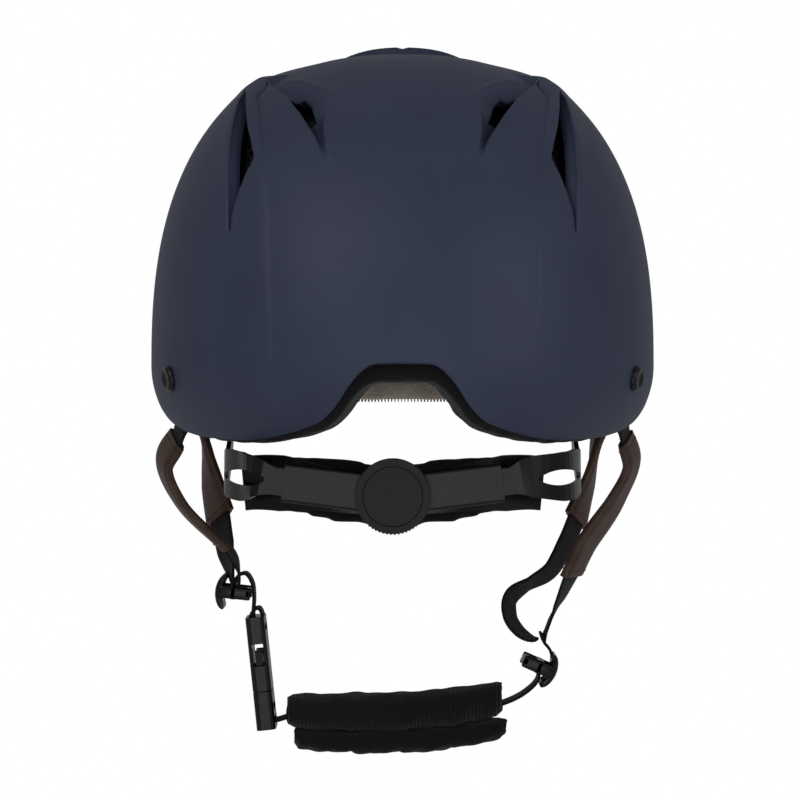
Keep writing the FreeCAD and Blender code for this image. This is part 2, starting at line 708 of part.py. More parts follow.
def toothed_strip(side):
    """The strip that runs past the pinion: a slot with teeth on one long edge, drawn in the dial frame."""
    tall, thick = size("strip_tall"), size("strip_thick")
    pitch, count = size("pitch_radius"), int(size("pinion_teeth"))
    step = 2 * math.pi * pitch / count
    outer_end = size("wing_reach") + 8
    strip = Part.makeBox(outer_end + 14, tall, thick, V(-14, -tall / 2, -thick))
    half_slot = pitch + 0.95
    slot = Part.makeBox(20.4, 2 * half_slot, thick * 3, V(-12.2, -half_slot, -2 * thick))
    strip = strip.cut(slot)
    tooth_edge = side * half_slot
    tip = pitch - 0.35
    shift = step / 2 + side * pitch * math.radians(size("wing_tilt"))
    for index in range(-4, 3):
        middle = index * step + shift
        if -11.6 < middle < 7.6:
            outline = [V(middle - 0.7, tooth_edge * 1.02, -thick), V(middle - 0.25, side * tip, -thick),
                       V(middle + 0.25, side * tip, -thick), V(middle + 0.7, tooth_edge * 1.02, -thick)]
            strip = strip.fuse(Part.Face(Part.makePolygon(outline + outline[:1])).extrude(V(0, 0, thick)))
    strip.rotate(V(0, 0, 0), V(0, 0, 1), size("wing_tilt"))
    if side < 0:
        strip = strip.mirror(V(0, 0, 0), V(1, 0, 0))
    strip.translate(V(0, 0, -strip_depth(side)))
    strip.Placement = dial_frame().multiply(strip.Placement)
    return strip


SLIDE_IN, SLIDE_OUT = 3, 7  # how far an arm slides into and out of the housing


def eye_hole(stud):
    """The hole for the temple stud: long enough for the rise and fall of the slanting slide."""
    radius = size("stud_radius") + size("free_gap")
    slope = math.sin(math.radians(size("wing_tilt")))
    low, high = stud - V(10, 0, SLIDE_OUT * slope), stud + V(-10, 0, SLIDE_IN * slope)
    ends = [Part.makeCylinder(radius, 20, end, V(1, 0, 0)) for end in (low, high)]
    middle = Part.makeBox(20, 2 * radius, high.z - low.z, low - V(0, radius, 0))
    return middle.fuse(ends)


SLOT_NEAR, SLOT_FAR, SLOT_HALF_TALL, SLOT_LEVEL, SLOT_RISE = 55, 76, 3.2, -32.4, 1.2


def almond_slot(side):
    """The almond-shaped slot in the widest part of an arm, as a bar along Y."""
    near, far = V(side * SLOT_NEAR, -130, SLOT_LEVEL), V(side * SLOT_FAR, -130, SLOT_LEVEL + SLOT_RISE)
    middle, up = (near + far) * 0.5, V(0, 0, SLOT_HALF_TALL)
    edges = [Part.Arc(near, middle + up, far).toShape(), Part.Arc(far, middle - up, near).toShape()]
    return Part.Face(Part.Wire(edges)).extrude(V(0, 65, 0))


def make_arm(side, word):
    """A curved arm with an almond slot, from the toothed strip to the eye on the temple stud."""
    dial_x, dial_y, dial_z = size("dial_x"), size("dial_y"), size("dial_z")
    tilt = math.tan(math.radians(size("wing_tilt")))
    start = size("wing_reach") + 4
    inner_y = dial_y + strip_depth(side) + size("strip_thick") / 2
    stud = V(side * size("stud_x"), size("stud_y"), size("stud_z"))
    root = V(dial_x + side * start, inner_y, dial_z + start * tilt)
    route = [
        (root, -90), (root + V(side * 8, 1.2, 1.6), -86), (V(side * 66, -93.5, -31.5), -55),
        (V(side * 72, -80, -30.5), -35), (V(side * 74.6, -60, -29.5), -12), (V(side * 75, -40, -25.5), -4),
        (V(side * 75, -22, -11), 0), (V(side * 76, -8, 9), 0), (stud - V(0, 3, 4.6), 0),
    ]
    wides = [11, 17, 20.2, 20.2, 17, 13, 11, 10, 9]
    stations = []
    for point, angle in route:
        face = facing(angle) if side > 0 else facing(180 - angle)
        stations.append((point, face))
    arm = ribbon(stations, wides, size("arm_thick"))
    arm = arm.cut(almond_slot(side))
    thick = size("arm_thick")
    eye = Part.makeCylinder(size("eye_radius"), thick, stud - V(thick / 2, 0, 0), V(1, 0, 0))
    hole = eye_hole(stud)
    shape = toothed_strip(side).fuse([arm, eye]).cut(hole)
    shape_node("cradle_arm_" + word, shape.Solids[0] if len(shape.Solids) == 1 else shape)


def make_cradle():
    make_knob()
    make_housing()
    for side, word in ((-1, "left"), (1, "right")):
        make_arm(side, word)
    studs = []
    for side in (-1, 1):
        wall = side * (size("cavity_half_width") - 0.9)
        tip = side * (size("stud_x") - 5.5)
        centre = V(tip, size("stud_y"), size("stud_z"))
        axis = V(side, 0, 0)
        pin = Part.makeCylinder(size("stud_radius"), abs(wall - tip), centre, axis)
        head = Part.makeCylinder(size("stud_radius") + 2.2, 1.2, centre - axis * 1.2, axis)
        flange = Part.makeCylinder(6, 1.2, V(wall - side * 1.2, centre.y, centre.z), axis)
        studs.append(pin.fuse([head, flange]))
    shape_node("cradle_studs", Part.makeCompound(studs))
    drop = size("dial_z")
    front = size("dial_y") + size("housing_thick") + 3
    dial_x = size("dial_x")
    edge = [(-62, 15.5, 4.2, 22.4), (-46, 7, 4.6, 23.2), (-24, 1.2, 2, 18), (0, 0, 0, 16), (24, 1.2, 2, 18),
            (46, 7, 4.6, 23.2), (62, 15.5, 4.2, 22.4)]
    faces = [-128, -115, -100, -90, -80, -65, -52]
    stations = [(V(dial_x + x, front + back, drop + up), facing(a)) for (x, back, up, _), a in zip(edge, faces)]
    shape_node("pad_carrier", ribbon(stations, [tall for _, _, _, tall in edge], 1.5))
    pad_stations = [(point - face * 4.4, face) for point, face in stations]
    shape_node("nape_pad", ribbon(pad_stations, [22.4, 25, 29, 30, 29, 25, 22.4], 6))


# ---------------------------------------------------------------- chin strap
def make_divider(word, centre):
    """A ring-like slider: a rounded block with two slots for the straps."""
    tall = 12
    wide = size("divider_wide")
    block = Part.makeBox(9, wide, tall, V(-4.5, -wide / 2, -tall / 2))
    block = block.makeFillet(3, [e for e in block.Edges if abs(e.Length - tall) < 0.1])
    slot = Part.makeBox(4.4, size("slot_wide"), 20, V(-2.2, -size("slot_wide") / 2, -10))
    block = block.cut(slot)
    block.translate(centre)
    return shape_node("divider_" + word, block)


BUCKLE_X, BUCKLE_Y, BUCKLE_TOP = -66, 9, -97


def buckle_frame():
    """The buckle's frame: origin at the socket's top, +Z up along the strap, +X out of its flat face."""
    return Placement(V(BUCKLE_X, BUCKLE_Y, BUCKLE_TOP), Rotation(V(0, 1, 0), -size("buckle_lean")))


def make_buckle():
    wide, thick, long_ = size("buckle_wide"), size("buckle_thick"), size("socket_long")
    gap = size("free_gap")
    prong = size("prong_thick")
    frame = buckle_frame()
    socket = Part.makeBox(thick, wide, long_, V(-thick / 2, -wide / 2, -long_))
    socket = socket.makeFillet(2.4, [e for e in socket.Edges if abs(e.Length - long_) < 0.1])
    inner = prong + 2 * (gap + 0.65)
    mouth = Part.makeBox(inner, wide - 3, 24, V(-inner / 2, -(wide - 3) / 2, -long_ - 1))
    windows = Part.makeBox(5, wide + 4, 10, V(-2.5, -wide / 2 - 2, -22))
    room = size("slot_wide")
    bar_room = Part.makeBox(thick + 2, room, 3, V(-thick / 2 - 1, -room / 2, -6.5))
    socket = socket.cut([mouth, windows, bar_room])
    socket.Placement = frame
    shape_node("buckle_socket", socket)
    # tongue: a base below the socket with a strap bar and a short middle guide
    base_top = -long_ - 0.5
    base = Part.makeBox(thick, wide, 17, V(-thick / 2, -wide / 2, base_top - 17))
    base = base.makeFillet(2.4, [e for e in base.Edges if abs(e.Length - 17) < 0.1])
    slots = [Part.makeBox(thick + 2, room, 3, V(-thick / 2 - 1, -room / 2, base_top - z)) for z in (8.5, 14.5)]
    pivots = []
    for y in (-6.5, 6.5):
        pivots.append(Part.makeBox(prong + 1.2, 5.2, 5, V(-prong / 2 - 0.6, y - 2.6, base_top - 4.4)))
    guide = Part.makeBox(prong, 4.6, 17, V(-prong / 2, -2.3, base_top - 1))
    tongue = base.cut(slots + pivots).fuse(guide)
    tongue.Placement = frame
    shape_node("buckle_tongue", tongue)
    for side, word in ((-1, "rear"), (1, "front")):
        stem = Part.makeBox(prong, 2.2, 15, V(-prong / 2, side * 6.5 - 1.1, base_top - 3.8))
        tip_low, tip_high = base_top + 10, base_top + 18.5
        outline = [V(-prong / 2, side * 5.4, tip_low), V(-prong / 2, side * 8.4, tip_low + 0.6),
                   V(-prong / 2, side * 8.6, tip_low + 3.5), V(-prong / 2, side * 6.6, tip_high),
                   V(-prong / 2, side * 5.4, tip_high)]
        head = Part.Face(Part.makePolygon(outline + outline[:1])).extrude(V(prong, 0, 0))
        shape = stem.fuse(head).removeSplitter()
        shape.Placement = frame
        shape_node("prong_" + word, shape)


def make_chin():
    wide, thick = size("web_wide"), size("web_thick")
    make_divider("left", V(-75, 9, -91))
    make_divider("right", V(62, 9, -119.5))
    web = [(V(-75, 9, -91), V(-1, 0, 0)), (V(-75, 9, -96.6), V(-1, 0, -0.1)),
           (V(-72, 9, -101.4), V(-0.6, 0, -0.8)), (V(-66.2, 9, -102), V(0, 0, -1))]
    shape_node("buckle_webbing", ribbon(web, wide, thick))
    make_buckle()
    foot = buckle_frame().multVec(V(0, 0, -size("socket_long") - 13.5))
    strap = [(foot, V(0, 0, -1)), (foot + V(5.6, 0, 0.2), V(0, 0, -1)), (V(-50, 9, -142), V(-0.1, 0, -1)),
             (V(-25, 9, -143), V(0, 0, -1)), (V(0, 9, -142.5), V(0, 0, -1)), (V(24, 9, -140.5), V(0.1, 0, -1)),
             (V(44, 9, -136.4), V(0.3, 0, -1)), (V(54.5, 9, -131.5), V(0.7, 0, -1)),
             (V(60.6, 9, -125.5), V(1, 0, -0.2)), (V(61.4, 9, -119), V(1, 0, 0))]
    shape_node("chin_webbing", ribbon(strap, wide, thick))
    route = [(V(-51, 9, -142), V(-0.1, 0, -1)), (V(-25, 9, -143), V(0, 0, -1)), (V(0, 9, -142.5), V(0, 0, -1)),
             (V(24, 9, -140.5), V(0.1, 0, -1)), (V(43, 9, -136.6), V(0.25, 0, -1))]
    lift = V(0, 0, 2.5)
    sleeve = ribbon([(p + lift, n) for p, n in route], [24, 26, 27, 26, 24], 15)
    longer = [(V(-60, 9, -141.6), V(-0.1, 0, -1))] + route + [(V(53, 9, -132), V(0.4, 0, -1))]
    bore = ribbon(longer, wide + 2.4, thick + 3.2)
    shape_node("chin_sleeve", sleeve.cut(bore))
    below = V(0, 0, -10.2)
    cushion = ribbon([(p + below, n) for p, n in route], [22, 26, 28, 26, 22], 9)
    shape_node("chin_cushion", cushion)


make_helmet()
make_rivets()
make_comfort()
make_cradle()
make_chin()

# ---------------------------------------------------------------- checks and export
doc.recompute()
for item in doc.Objects:
    if "Invalid" in item.State or "Error" in item.State:
        raise RuntimeError("%s failed: %s" % (item.Label, item.State))
for item in nodes:
    if item.Shape.isNull() or not item.Shape.isValid():
        raise RuntimeError("%s has no valid shape" % item.Label)
for item in nodes:
    item.Shape.exportStep(os.path.join("parts", item.Label + ".step"))
    print("%-22s %2d solid(s) %12.1f mm3" % (item.Label, len(item.Shape.Solids), item.Shape.Volume))
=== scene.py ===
import math

import bmesh
import bpy
import numpy as np
from mathutils import Matrix, Vector


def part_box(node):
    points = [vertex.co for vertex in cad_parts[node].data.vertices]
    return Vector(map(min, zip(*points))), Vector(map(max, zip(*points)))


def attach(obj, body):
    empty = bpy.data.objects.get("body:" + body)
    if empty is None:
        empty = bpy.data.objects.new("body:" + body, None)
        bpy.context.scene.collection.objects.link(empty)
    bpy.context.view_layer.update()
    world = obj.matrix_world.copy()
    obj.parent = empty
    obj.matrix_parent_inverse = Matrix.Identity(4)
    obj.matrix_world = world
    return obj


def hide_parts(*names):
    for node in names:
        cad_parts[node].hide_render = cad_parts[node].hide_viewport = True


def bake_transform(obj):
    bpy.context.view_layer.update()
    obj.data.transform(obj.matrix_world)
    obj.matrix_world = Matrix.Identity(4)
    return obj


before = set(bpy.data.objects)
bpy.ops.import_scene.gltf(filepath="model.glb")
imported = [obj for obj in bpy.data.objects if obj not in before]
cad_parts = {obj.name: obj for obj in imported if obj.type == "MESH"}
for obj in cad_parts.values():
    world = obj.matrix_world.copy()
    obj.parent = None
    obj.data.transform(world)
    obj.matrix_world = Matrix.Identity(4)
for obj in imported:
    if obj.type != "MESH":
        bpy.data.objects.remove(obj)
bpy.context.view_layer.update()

# ---------------------------------------------------------------- camera
# The helmet hangs at eye height and is looked at from straight behind, level with its brow, from 1.2 m.
# A long lens keeps the far rim and the near dial at nearly the same scale.
eye = bpy.data.cameras.new("eye")
eye.lens = 121
eye.sensor_width = 36
eye.clip_start = 0.05
camera = bpy.data.objects.new("camera", eye)
camera.location = (-0.0011, -1.2, 0)
camera.rotation_euler = (math.radians(90), 0, 0)
bpy.context.collection.objects.link(camera)
bpy.context.scene.camera = camera

# ---------------------------------------------------------------- studio
# A white cyclorama: a pale floor well under the helmet that sweeps up into a wall, a bright even room and soft
# boxes.
FLOOR_LEVEL, SWEEP_START, SWEEP_RADIUS, WALL_TOP = -0.3, 2.0, 1.2, 6.0
bend = [(SWEEP_START + SWEEP_RADIUS * math.sin(a), FLOOR_LEVEL + SWEEP_RADIUS * (1 - math.cos(a)))
        for a in np.linspace(0, math.pi / 2, 25)]
profile = [(-12.0, FLOOR_LEVEL)] + bend + [(SWEEP_START + SWEEP_RADIUS, WALL_TOP)]
sweep = bpy.data.meshes.new("floor")
sweep.from_pydata([(x, y, z) for y, z in profile for x in (-12, 12)], [],
                  [(2 * k, 2 * k + 1, 2 * k + 3, 2 * k + 2) for k in range(len(profile) - 1)])
sweep.shade_smooth()
floor = bpy.data.objects.new("floor", sweep)
bpy.context.collection.objects.link(floor)
floor_paint = bpy.data.materials.new("floor_paint")
floor_paint.use_nodes = True
paint = floor_paint.node_tree.nodes["Principled BSDF"]
paint.inputs["Base Color"].default_value = (0.92, 0.92, 0.92, 1)
paint.inputs["Roughness"].default_value = 0.9
glow = floor_paint.node_tree.nodes.new("ShaderNodeEmission")
glow.inputs["Color"].default_value = (1, 1, 1, 1)
seen = floor_paint.node_tree.nodes.new("ShaderNodeLightPath")
mix = floor_paint.node_tree.nodes.new("ShaderNodeMixShader")
floor_paint.node_tree.links.new(seen.outputs["Is Camera Ray"], mix.inputs["Fac"])
floor_paint.node_tree.links.new(paint.outputs["BSDF"], mix.inputs[1])
floor_paint.node_tree.links.new(glow.outputs["Emission"], mix.inputs[2])
floor_paint.node_tree.links.new(mix.outputs["Shader"],
                                floor_paint.node_tree.nodes["Material Output"].inputs["Surface"])
floor.data.materials.append(floor_paint)

room = bpy.data.worlds.new("room")
room.use_nodes = True
sky = room.node_tree.nodes["Background"]
sky.inputs["Color"].default_value = (1, 1, 1, 1)
dim, lit = room.node_tree.nodes.new("ShaderNodeLightPath"), room.node_tree.nodes.new("ShaderNodeMapRange")
lit.inputs["To Min"].default_value, lit.inputs["To Max"].default_value = 0.30, 1.0
room.node_tree.links.new(dim.outputs["Is Camera Ray"], lit.inputs["Value"])
room.node_tree.links.new(lit.outputs["Result"], sky.inputs["Strength"])
bpy.context.scene.world = room
bpy.context.scene.view_settings.view_transform = "Standard"


def soft_box(name, place, target, wide, watts):
    """A square area light that faces a target."""
    lamp = bpy.data.lights.new(name, "AREA")
    lamp.size = wide
    lamp.energy = watts
    holder = bpy.data.objects.new(name, lamp)
    holder.location = place
    holder.rotation_euler = (Vector(target) - Vector(place)).to_track_quat("-Z", "Y").to_euler()
    bpy.context.collection.objects.link(holder)


soft_box("key", (-0.9, -1.4, 1.1), (0, 0, 0), 0.9, 9)
soft_box("fill", (1.2, -1.1, 0.5), (0, 0, 0), 1.0, 5)
soft_box("under", (0.0, -1.2, -0.25), (0, 0, -0.05), 0.6, 2)

# ---------------------------------------------------------------- outer shell
# One ABS moulding, 3 mm thick, painted matte navy. Its back has a smooth centre panel between two raised
# creases, a long slit vent and a scooped vent on each side, and a front panel that steps up at the crown.
HALF_WIDTH, REAR, FRONT, RISE, TUCK, EQUATOR = 0.111, 0.135, 0.130, 0.142, 0.067, 0.015
PLAN_POWER, SIDE_POWER, LENGTH_POWER = 2.2, 2.5, 2.2


def dome(turn, fall, depth=0.0):
    """The helmet's skin at a turn round Z from the nape and a fall from the crown, a depth inside it."""
    turn, fall = np.broadcast_arrays(np.asarray(turn, float), np.asarray(fall, float))
    across, along = np.sin(turn), np.cos(turn)
    length = np.where(along > 0, REAR - depth, FRONT - depth)
    reach = (np.abs(across / (HALF_WIDTH - depth)) ** PLAN_POWER
             + np.abs(along / length) ** PLAN_POWER) ** (-1 / PLAN_POWER)
    power = LENGTH_POWER + (SIDE_POWER - LENGTH_POWER) * across**2
    low = fall > math.pi / 2
    power = np.where(low, 2.0, power)
    height = np.where(low, TUCK - depth, RISE - depth)
    out, up = np.sin(fall), np.cos(fall)
    ray = ((out / reach) ** power + (np.abs(up) / height) ** power) ** (-1 / power)
    return np.stack([ray * out * across, -ray * out * along, EQUATOR + ray * up], axis=-1)


def fall_to(turn, level, depth=0.0):
    """The fall at which the skin reaches a level."""
    low = np.zeros(np.broadcast(turn, level).shape)
    high = np.full(low.shape, math.radians(170))
    for _ in range(36):
        middle = (low + high) / 2
        above = dome(turn, middle, depth)[..., 2] > level
        low, high = np.where(above, middle, low), np.where(above, high, middle)
    return low


NOTCH_TOP, RIM_LOW, EAR_RISE, BROW_RISE = 0.015, -0.0165, 0.010, 0.002
NOTCH = [(0, 0), (5.8, 0.01), (9, 0.25), (11.6, 0.54), (15, 0.75), (20.4, 0.87), (27, 0.96), (34, 1)]
TO_EAR = [(34, 0), (50, 0.04), (60, 0.13), (70, 0.28), (80, 0.57), (90, 0.85), (100, 1)]
TO_BROW = [(100, 1), (112, 1), (130, 0.5), (150, 0.12), (180, 0)]


def share(rows, degrees):
    """Reads rows of (degrees, share), rounded a little at the corners."""
    known, values = zip(*rows)
    blur = [np.interp(degrees + shift, known, values) for shift in (-1.2, -0.6, 0, 0.6, 1.2)]
    return sum(blur) / len(blur)


def rim(turn):
    """The height of the shell's lower edge: a notch at the nape, low behind the ears, arched over them."""
    degrees = np.abs(np.degrees(np.remainder(turn + math.pi, 2 * math.pi) - math.pi))
    notch = NOTCH_TOP + (RIM_LOW - NOTCH_TOP) * share(NOTCH, degrees)
    ear = RIM_LOW + (EAR_RISE - RIM_LOW) * share(TO_EAR, degrees)
    brow = BROW_RISE + (EAR_RISE - BROW_RISE) * share(TO_BROW, degrees)
    return np.where(degrees < 34, notch, np.where(degrees < 100, ear, brow))


def ease(low, high, value):
    """0 below low, 1 above high, smooth between."""
    t = np.clip((value - low) / (high - low), 0, 1)
    return t * t * (3 - 2 * t)


def line(rows, level):
    """A feature line on one side of the shell: its distance from the middle at each level."""
    levels, places = zip(*sorted(rows))
    return np.interp(level, levels, places)


# Feature lines as (level, distance from the middle plane), from the edge of the centre panel outwards.
PANEL = [(-0.02, 0.0306), (0.0976, 0.0306), (0.1006, 0.0311), (0.1094, 0.0327), (0.1171, 0.0332),
         (0.123, 0.0322), (0.1294, 0.0300), (0.134, 0.0330), (0.1372, 0.0400)]
PETAL = [(-0.02, 0.0326), (0.092, 0.0322), (0.0976, 0.0325), (0.1025, 0.0338), (0.1083, 0.0362),
         (0.1183, 0.0423), (0.127, 0.0488), (0.1307, 0.0528), (0.1337, 0.0560), (0.1372, 0.0575)]
CREASE = [(-0.02, 0.0526), (0.004, 0.0524), (0.024, 0.0530), (0.040, 0.0538), (0.062, 0.0546),
          (0.077, 0.0550), (0.089, 0.0562), (0.1046, 0.0583), (0.1193, 0.0604), (0.1297, 0.0623)]
SLIT_IN = [(-0.02, 0.0702), (0.0687, 0.0705), (0.0771, 0.0697), (0.0854, 0.0672), (0.0931, 0.0643),
           (0.0997, 0.0610), (0.1049, 0.0619), (0.1129, 0.0637), (0.1199, 0.0645), (0.1281, 0.0652),
           (0.1325, 0.0664)]
SLIT_OUT = [(-0.02, 0.0712), (0.0687, 0.0711), (0.0778, 0.0715), (0.0932, 0.0717), (0.1086, 0.0717),
            (0.1181, 0.0710), (0.1281, 0.0698), (0.1325, 0.0678)]
SLIT_LOW, SLIT_HIGH = 0.0690, 0.1320
HOLE_LOW, HOLE_HIGH = 0.1195, 0.1312
RELIEF_LOW = 0.0976
# columns of the grid between one line and the next, from the middle to the ear
COLUMNS = (26, 16, 3, 18, 3, 9, 7, 52)
FOOT = 0.0006
SHELL_ROWS = 232
EAR_TURN = math.radians(100)


def anchor_turns(rows_of, shares, top_level):
    """For each grid row, the turn at which it meets a feature line; above the line it runs to the crown."""
    low, high = np.zeros(len(shares)), np.full(len(shares), EAR_TURN)
    for _ in range(34):
        middle = (low + high) / 2
        fall = CAP_FALL + (fall_to(middle, rim(middle)) - CAP_FALL) * shares
        place = dome(middle, fall)
        short = place[:, 0] < line(rows_of, np.minimum(place[:, 2], top_level))
        low, high = np.where(short, middle, low), np.where(short, high, middle)
    turns = low.copy()
    fall = CAP_FALL + (fall_to(turns, rim(turns)) - CAP_FALL) * shares
    above = dome(turns, fall)[:, 2] > top_level
    if above.any():
        turns[above] = turns[np.argmin(np.where(above, 9, dome(turns, fall)[:, 2] * -1))]
    return turns


CAP_FALL = 0.03


def shell_grid():
    """Turns and falls of the shell's grid, whose columns run along the feature lines, and each column's band."""
    shares = np.linspace(0, 1, SHELL_ROWS)
    lines = [anchor_turns(rows_of, shares, max(rows_of)[0])
             for rows_of in (PANEL, PETAL, CREASE, SLIT_IN, SLIT_OUT)]
    panel, petal, crease, slit_in, slit_out = lines
    reach = 0.1
    foot = FOOT / reach
    petal = np.maximum(petal, panel + 0.014)
    petal_foot = petal - foot
    crease = np.maximum(crease, petal + 0.03)
    crease_foot = crease - foot
    slit_in = np.maximum(slit_in, crease + 0.02)
    slit_out = np.maximum(slit_out, slit_in + 0.006)
    stops = [np.zeros(SHELL_ROWS), panel, petal_foot, petal, crease_foot, crease, slit_in, slit_out,
             np.full(SHELL_ROWS, EAR_TURN)]
    half, band, place = [], [], []
    for number, count in enumerate(COLUMNS):
        for step in range(count):
            half.append(stops[number] + (stops[number + 1] - stops[number]) * step / count)
            band.append(number)
            place.append(step / count)
    half.append(stops[-1])
    band.append(len(COLUMNS) - 1)
    place.append(1.0)
    front = [np.full(SHELL_ROWS, EAR_TURN + (math.pi - EAR_TURN) * k / 40) for k in range(1, 41)]
    half += front
    band += [8] * 40
    place += [k / 40 for k in range(1, 41)]
    right = np.stack(half, axis=1)
    turn = np.concatenate([-right[:, :0:-1], right[:, :-1]], axis=1)
    band = np.array(band[:0:-1] + band[:-1])
    place = np.array(place[:0:-1] + place[:-1])
    fall = CAP_FALL + (fall_to(turn, rim(turn)) - CAP_FALL) * shares[:, None]
    return turn, fall, band, place


def hood_level(x):
    """The level of the scoop's upper edge at a distance from the middle."""
    return np.interp(x, [0.0295, 0.0341, 0.0398, 0.0455, 0.0504, 0.0525, 0.056],
                     [0.1294, 0.1329, 0.1363, 0.1380, 0.1372, 0.1345, 0.131])


def relief(places, band, place):
    """How far each point of the plain dome is raised along its normal, in metres."""
    x, y, level = np.abs(places[..., 0]), places[..., 1], places[..., 2]
    band, place = np.broadcast_to(band, x.shape), np.broadcast_to(place, x.shape)
    behind = 1 - ease(-0.01, 0.055, y)
    # the back lies lower than the front panel, which steps up across the crown
    crown = (1 - ease(0.036, 0.075, x)) * ease(0.085, 0.146, level)
    fade = 1 - ease(0.020, 0.085, y) * (1 - ease(0.030, 0.044, x))
    step_line = -0.004 + 0.040 * (x / 0.040) ** 2
    front = ease(-0.0006, 0.0006, y - step_line) * (1 - ease(0.034, 0.042, x))
    raised = -0.0043 * crown * fade * (1 - front * (1 - 0.35 * (x / 0.042) ** 2))
    # scoops dip under the petals' edges and come up to the centre panel and to the hood
    hood = hood_level(x)
    window = ease(RELIEF_LOW, 0.120, level) * (y < -0.02)
    under = np.clip((hood - level) / 0.010, 0, 1)
    dip = -0.0074 * window * ease(0, 1, under)
    in_scoop = band == 1
    raised = raised + np.where(in_scoop, dip * place ** 0.75, 0)
    raised = raised + np.where(band == 2, dip * (1 - ease(0, 1, place)), 0)
    # petals: highest along their sharp edge over the scoop, falling to the crease
    petal_tall = 0.0030 * ease(0.096, 0.126, level) * behind
    in_petal = np.where(band == 3, petal_tall * (1 - 0.95 * place ** 1.4), 0)
    in_petal = in_petal + np.where(band == 2, petal_tall * ease(0, 1, place), 0)
    in_petal = in_petal + np.where(band == 4, petal_tall * 0.05, 0)
    # fins: a step up at the crease and a rise to the slit's edge; lower down only a fine line is left
    fin_top = ease(0.088, 0.118, level)
    fin_low = 0.00045 * ease(-0.01, 0.05, level) * (1 - fin_top)
    fin_foot = (0.0009 * fin_top + fin_low) * behind
    fin_edge = 0.0031 * ease(0.094, 0.126, level) * behind
    width = np.maximum(x - line(CREASE, level), 0)
    fading = 1 - ease(0, 0.034, width)
    in_fin = np.where(band == 4, fin_foot * place, 0)
    in_fin = in_fin + np.where(band == 5, fin_foot * (1 - place) + fin_edge * place ** 0.8
                               + fin_low * behind * (fading - 1 + place), 0)
    in_fin = in_fin + np.where(band == 6, fin_edge * (1 - place) + fin_low * fading * behind, 0)
    lip = 0.0011 * ease(0.070, 0.100, level) * behind
    in_fin = in_fin + np.where(band == 6, lip * place, 0)
    gap = np.maximum(x - line(SLIT_OUT, level), 0)
    in_fin = in_fin + np.where(band == 7, lip * np.exp(-(gap / 0.0045) ** 2) + fin_low * fading * behind, 0)
    raised = raised + (in_petal + in_fin) * (1 - ease(0.1370, 0.1440, level))
    # a fine raised bead follows the centre panel's edge and the hood
    bead = np.exp(-(((x - line(PANEL, level) + 0.0009) / 0.0009) ** 2)) * (level > RELIEF_LOW)
    bead = bead * (level < hood + 0.0010) * (band <= 1)
    over = np.exp(-(((level - hood - 0.0006) / 0.0009) ** 2)) * (x > 0.0290) * (x < 0.0530)
    return raised + 0.0008 * np.maximum(bead, over) * (y < -0.02)


def normals_of(grid):
    """Unit normals of a grid of points that closes round its second axis."""
    down = np.gradient(grid, axis=0)
    around = np.roll(grid, -1, axis=1) - np.roll(grid, 1, axis=1)
    normal = np.cross(down, around)
    return normal / np.maximum(np.linalg.norm(normal, axis=-1, keepdims=True), 1e-12)


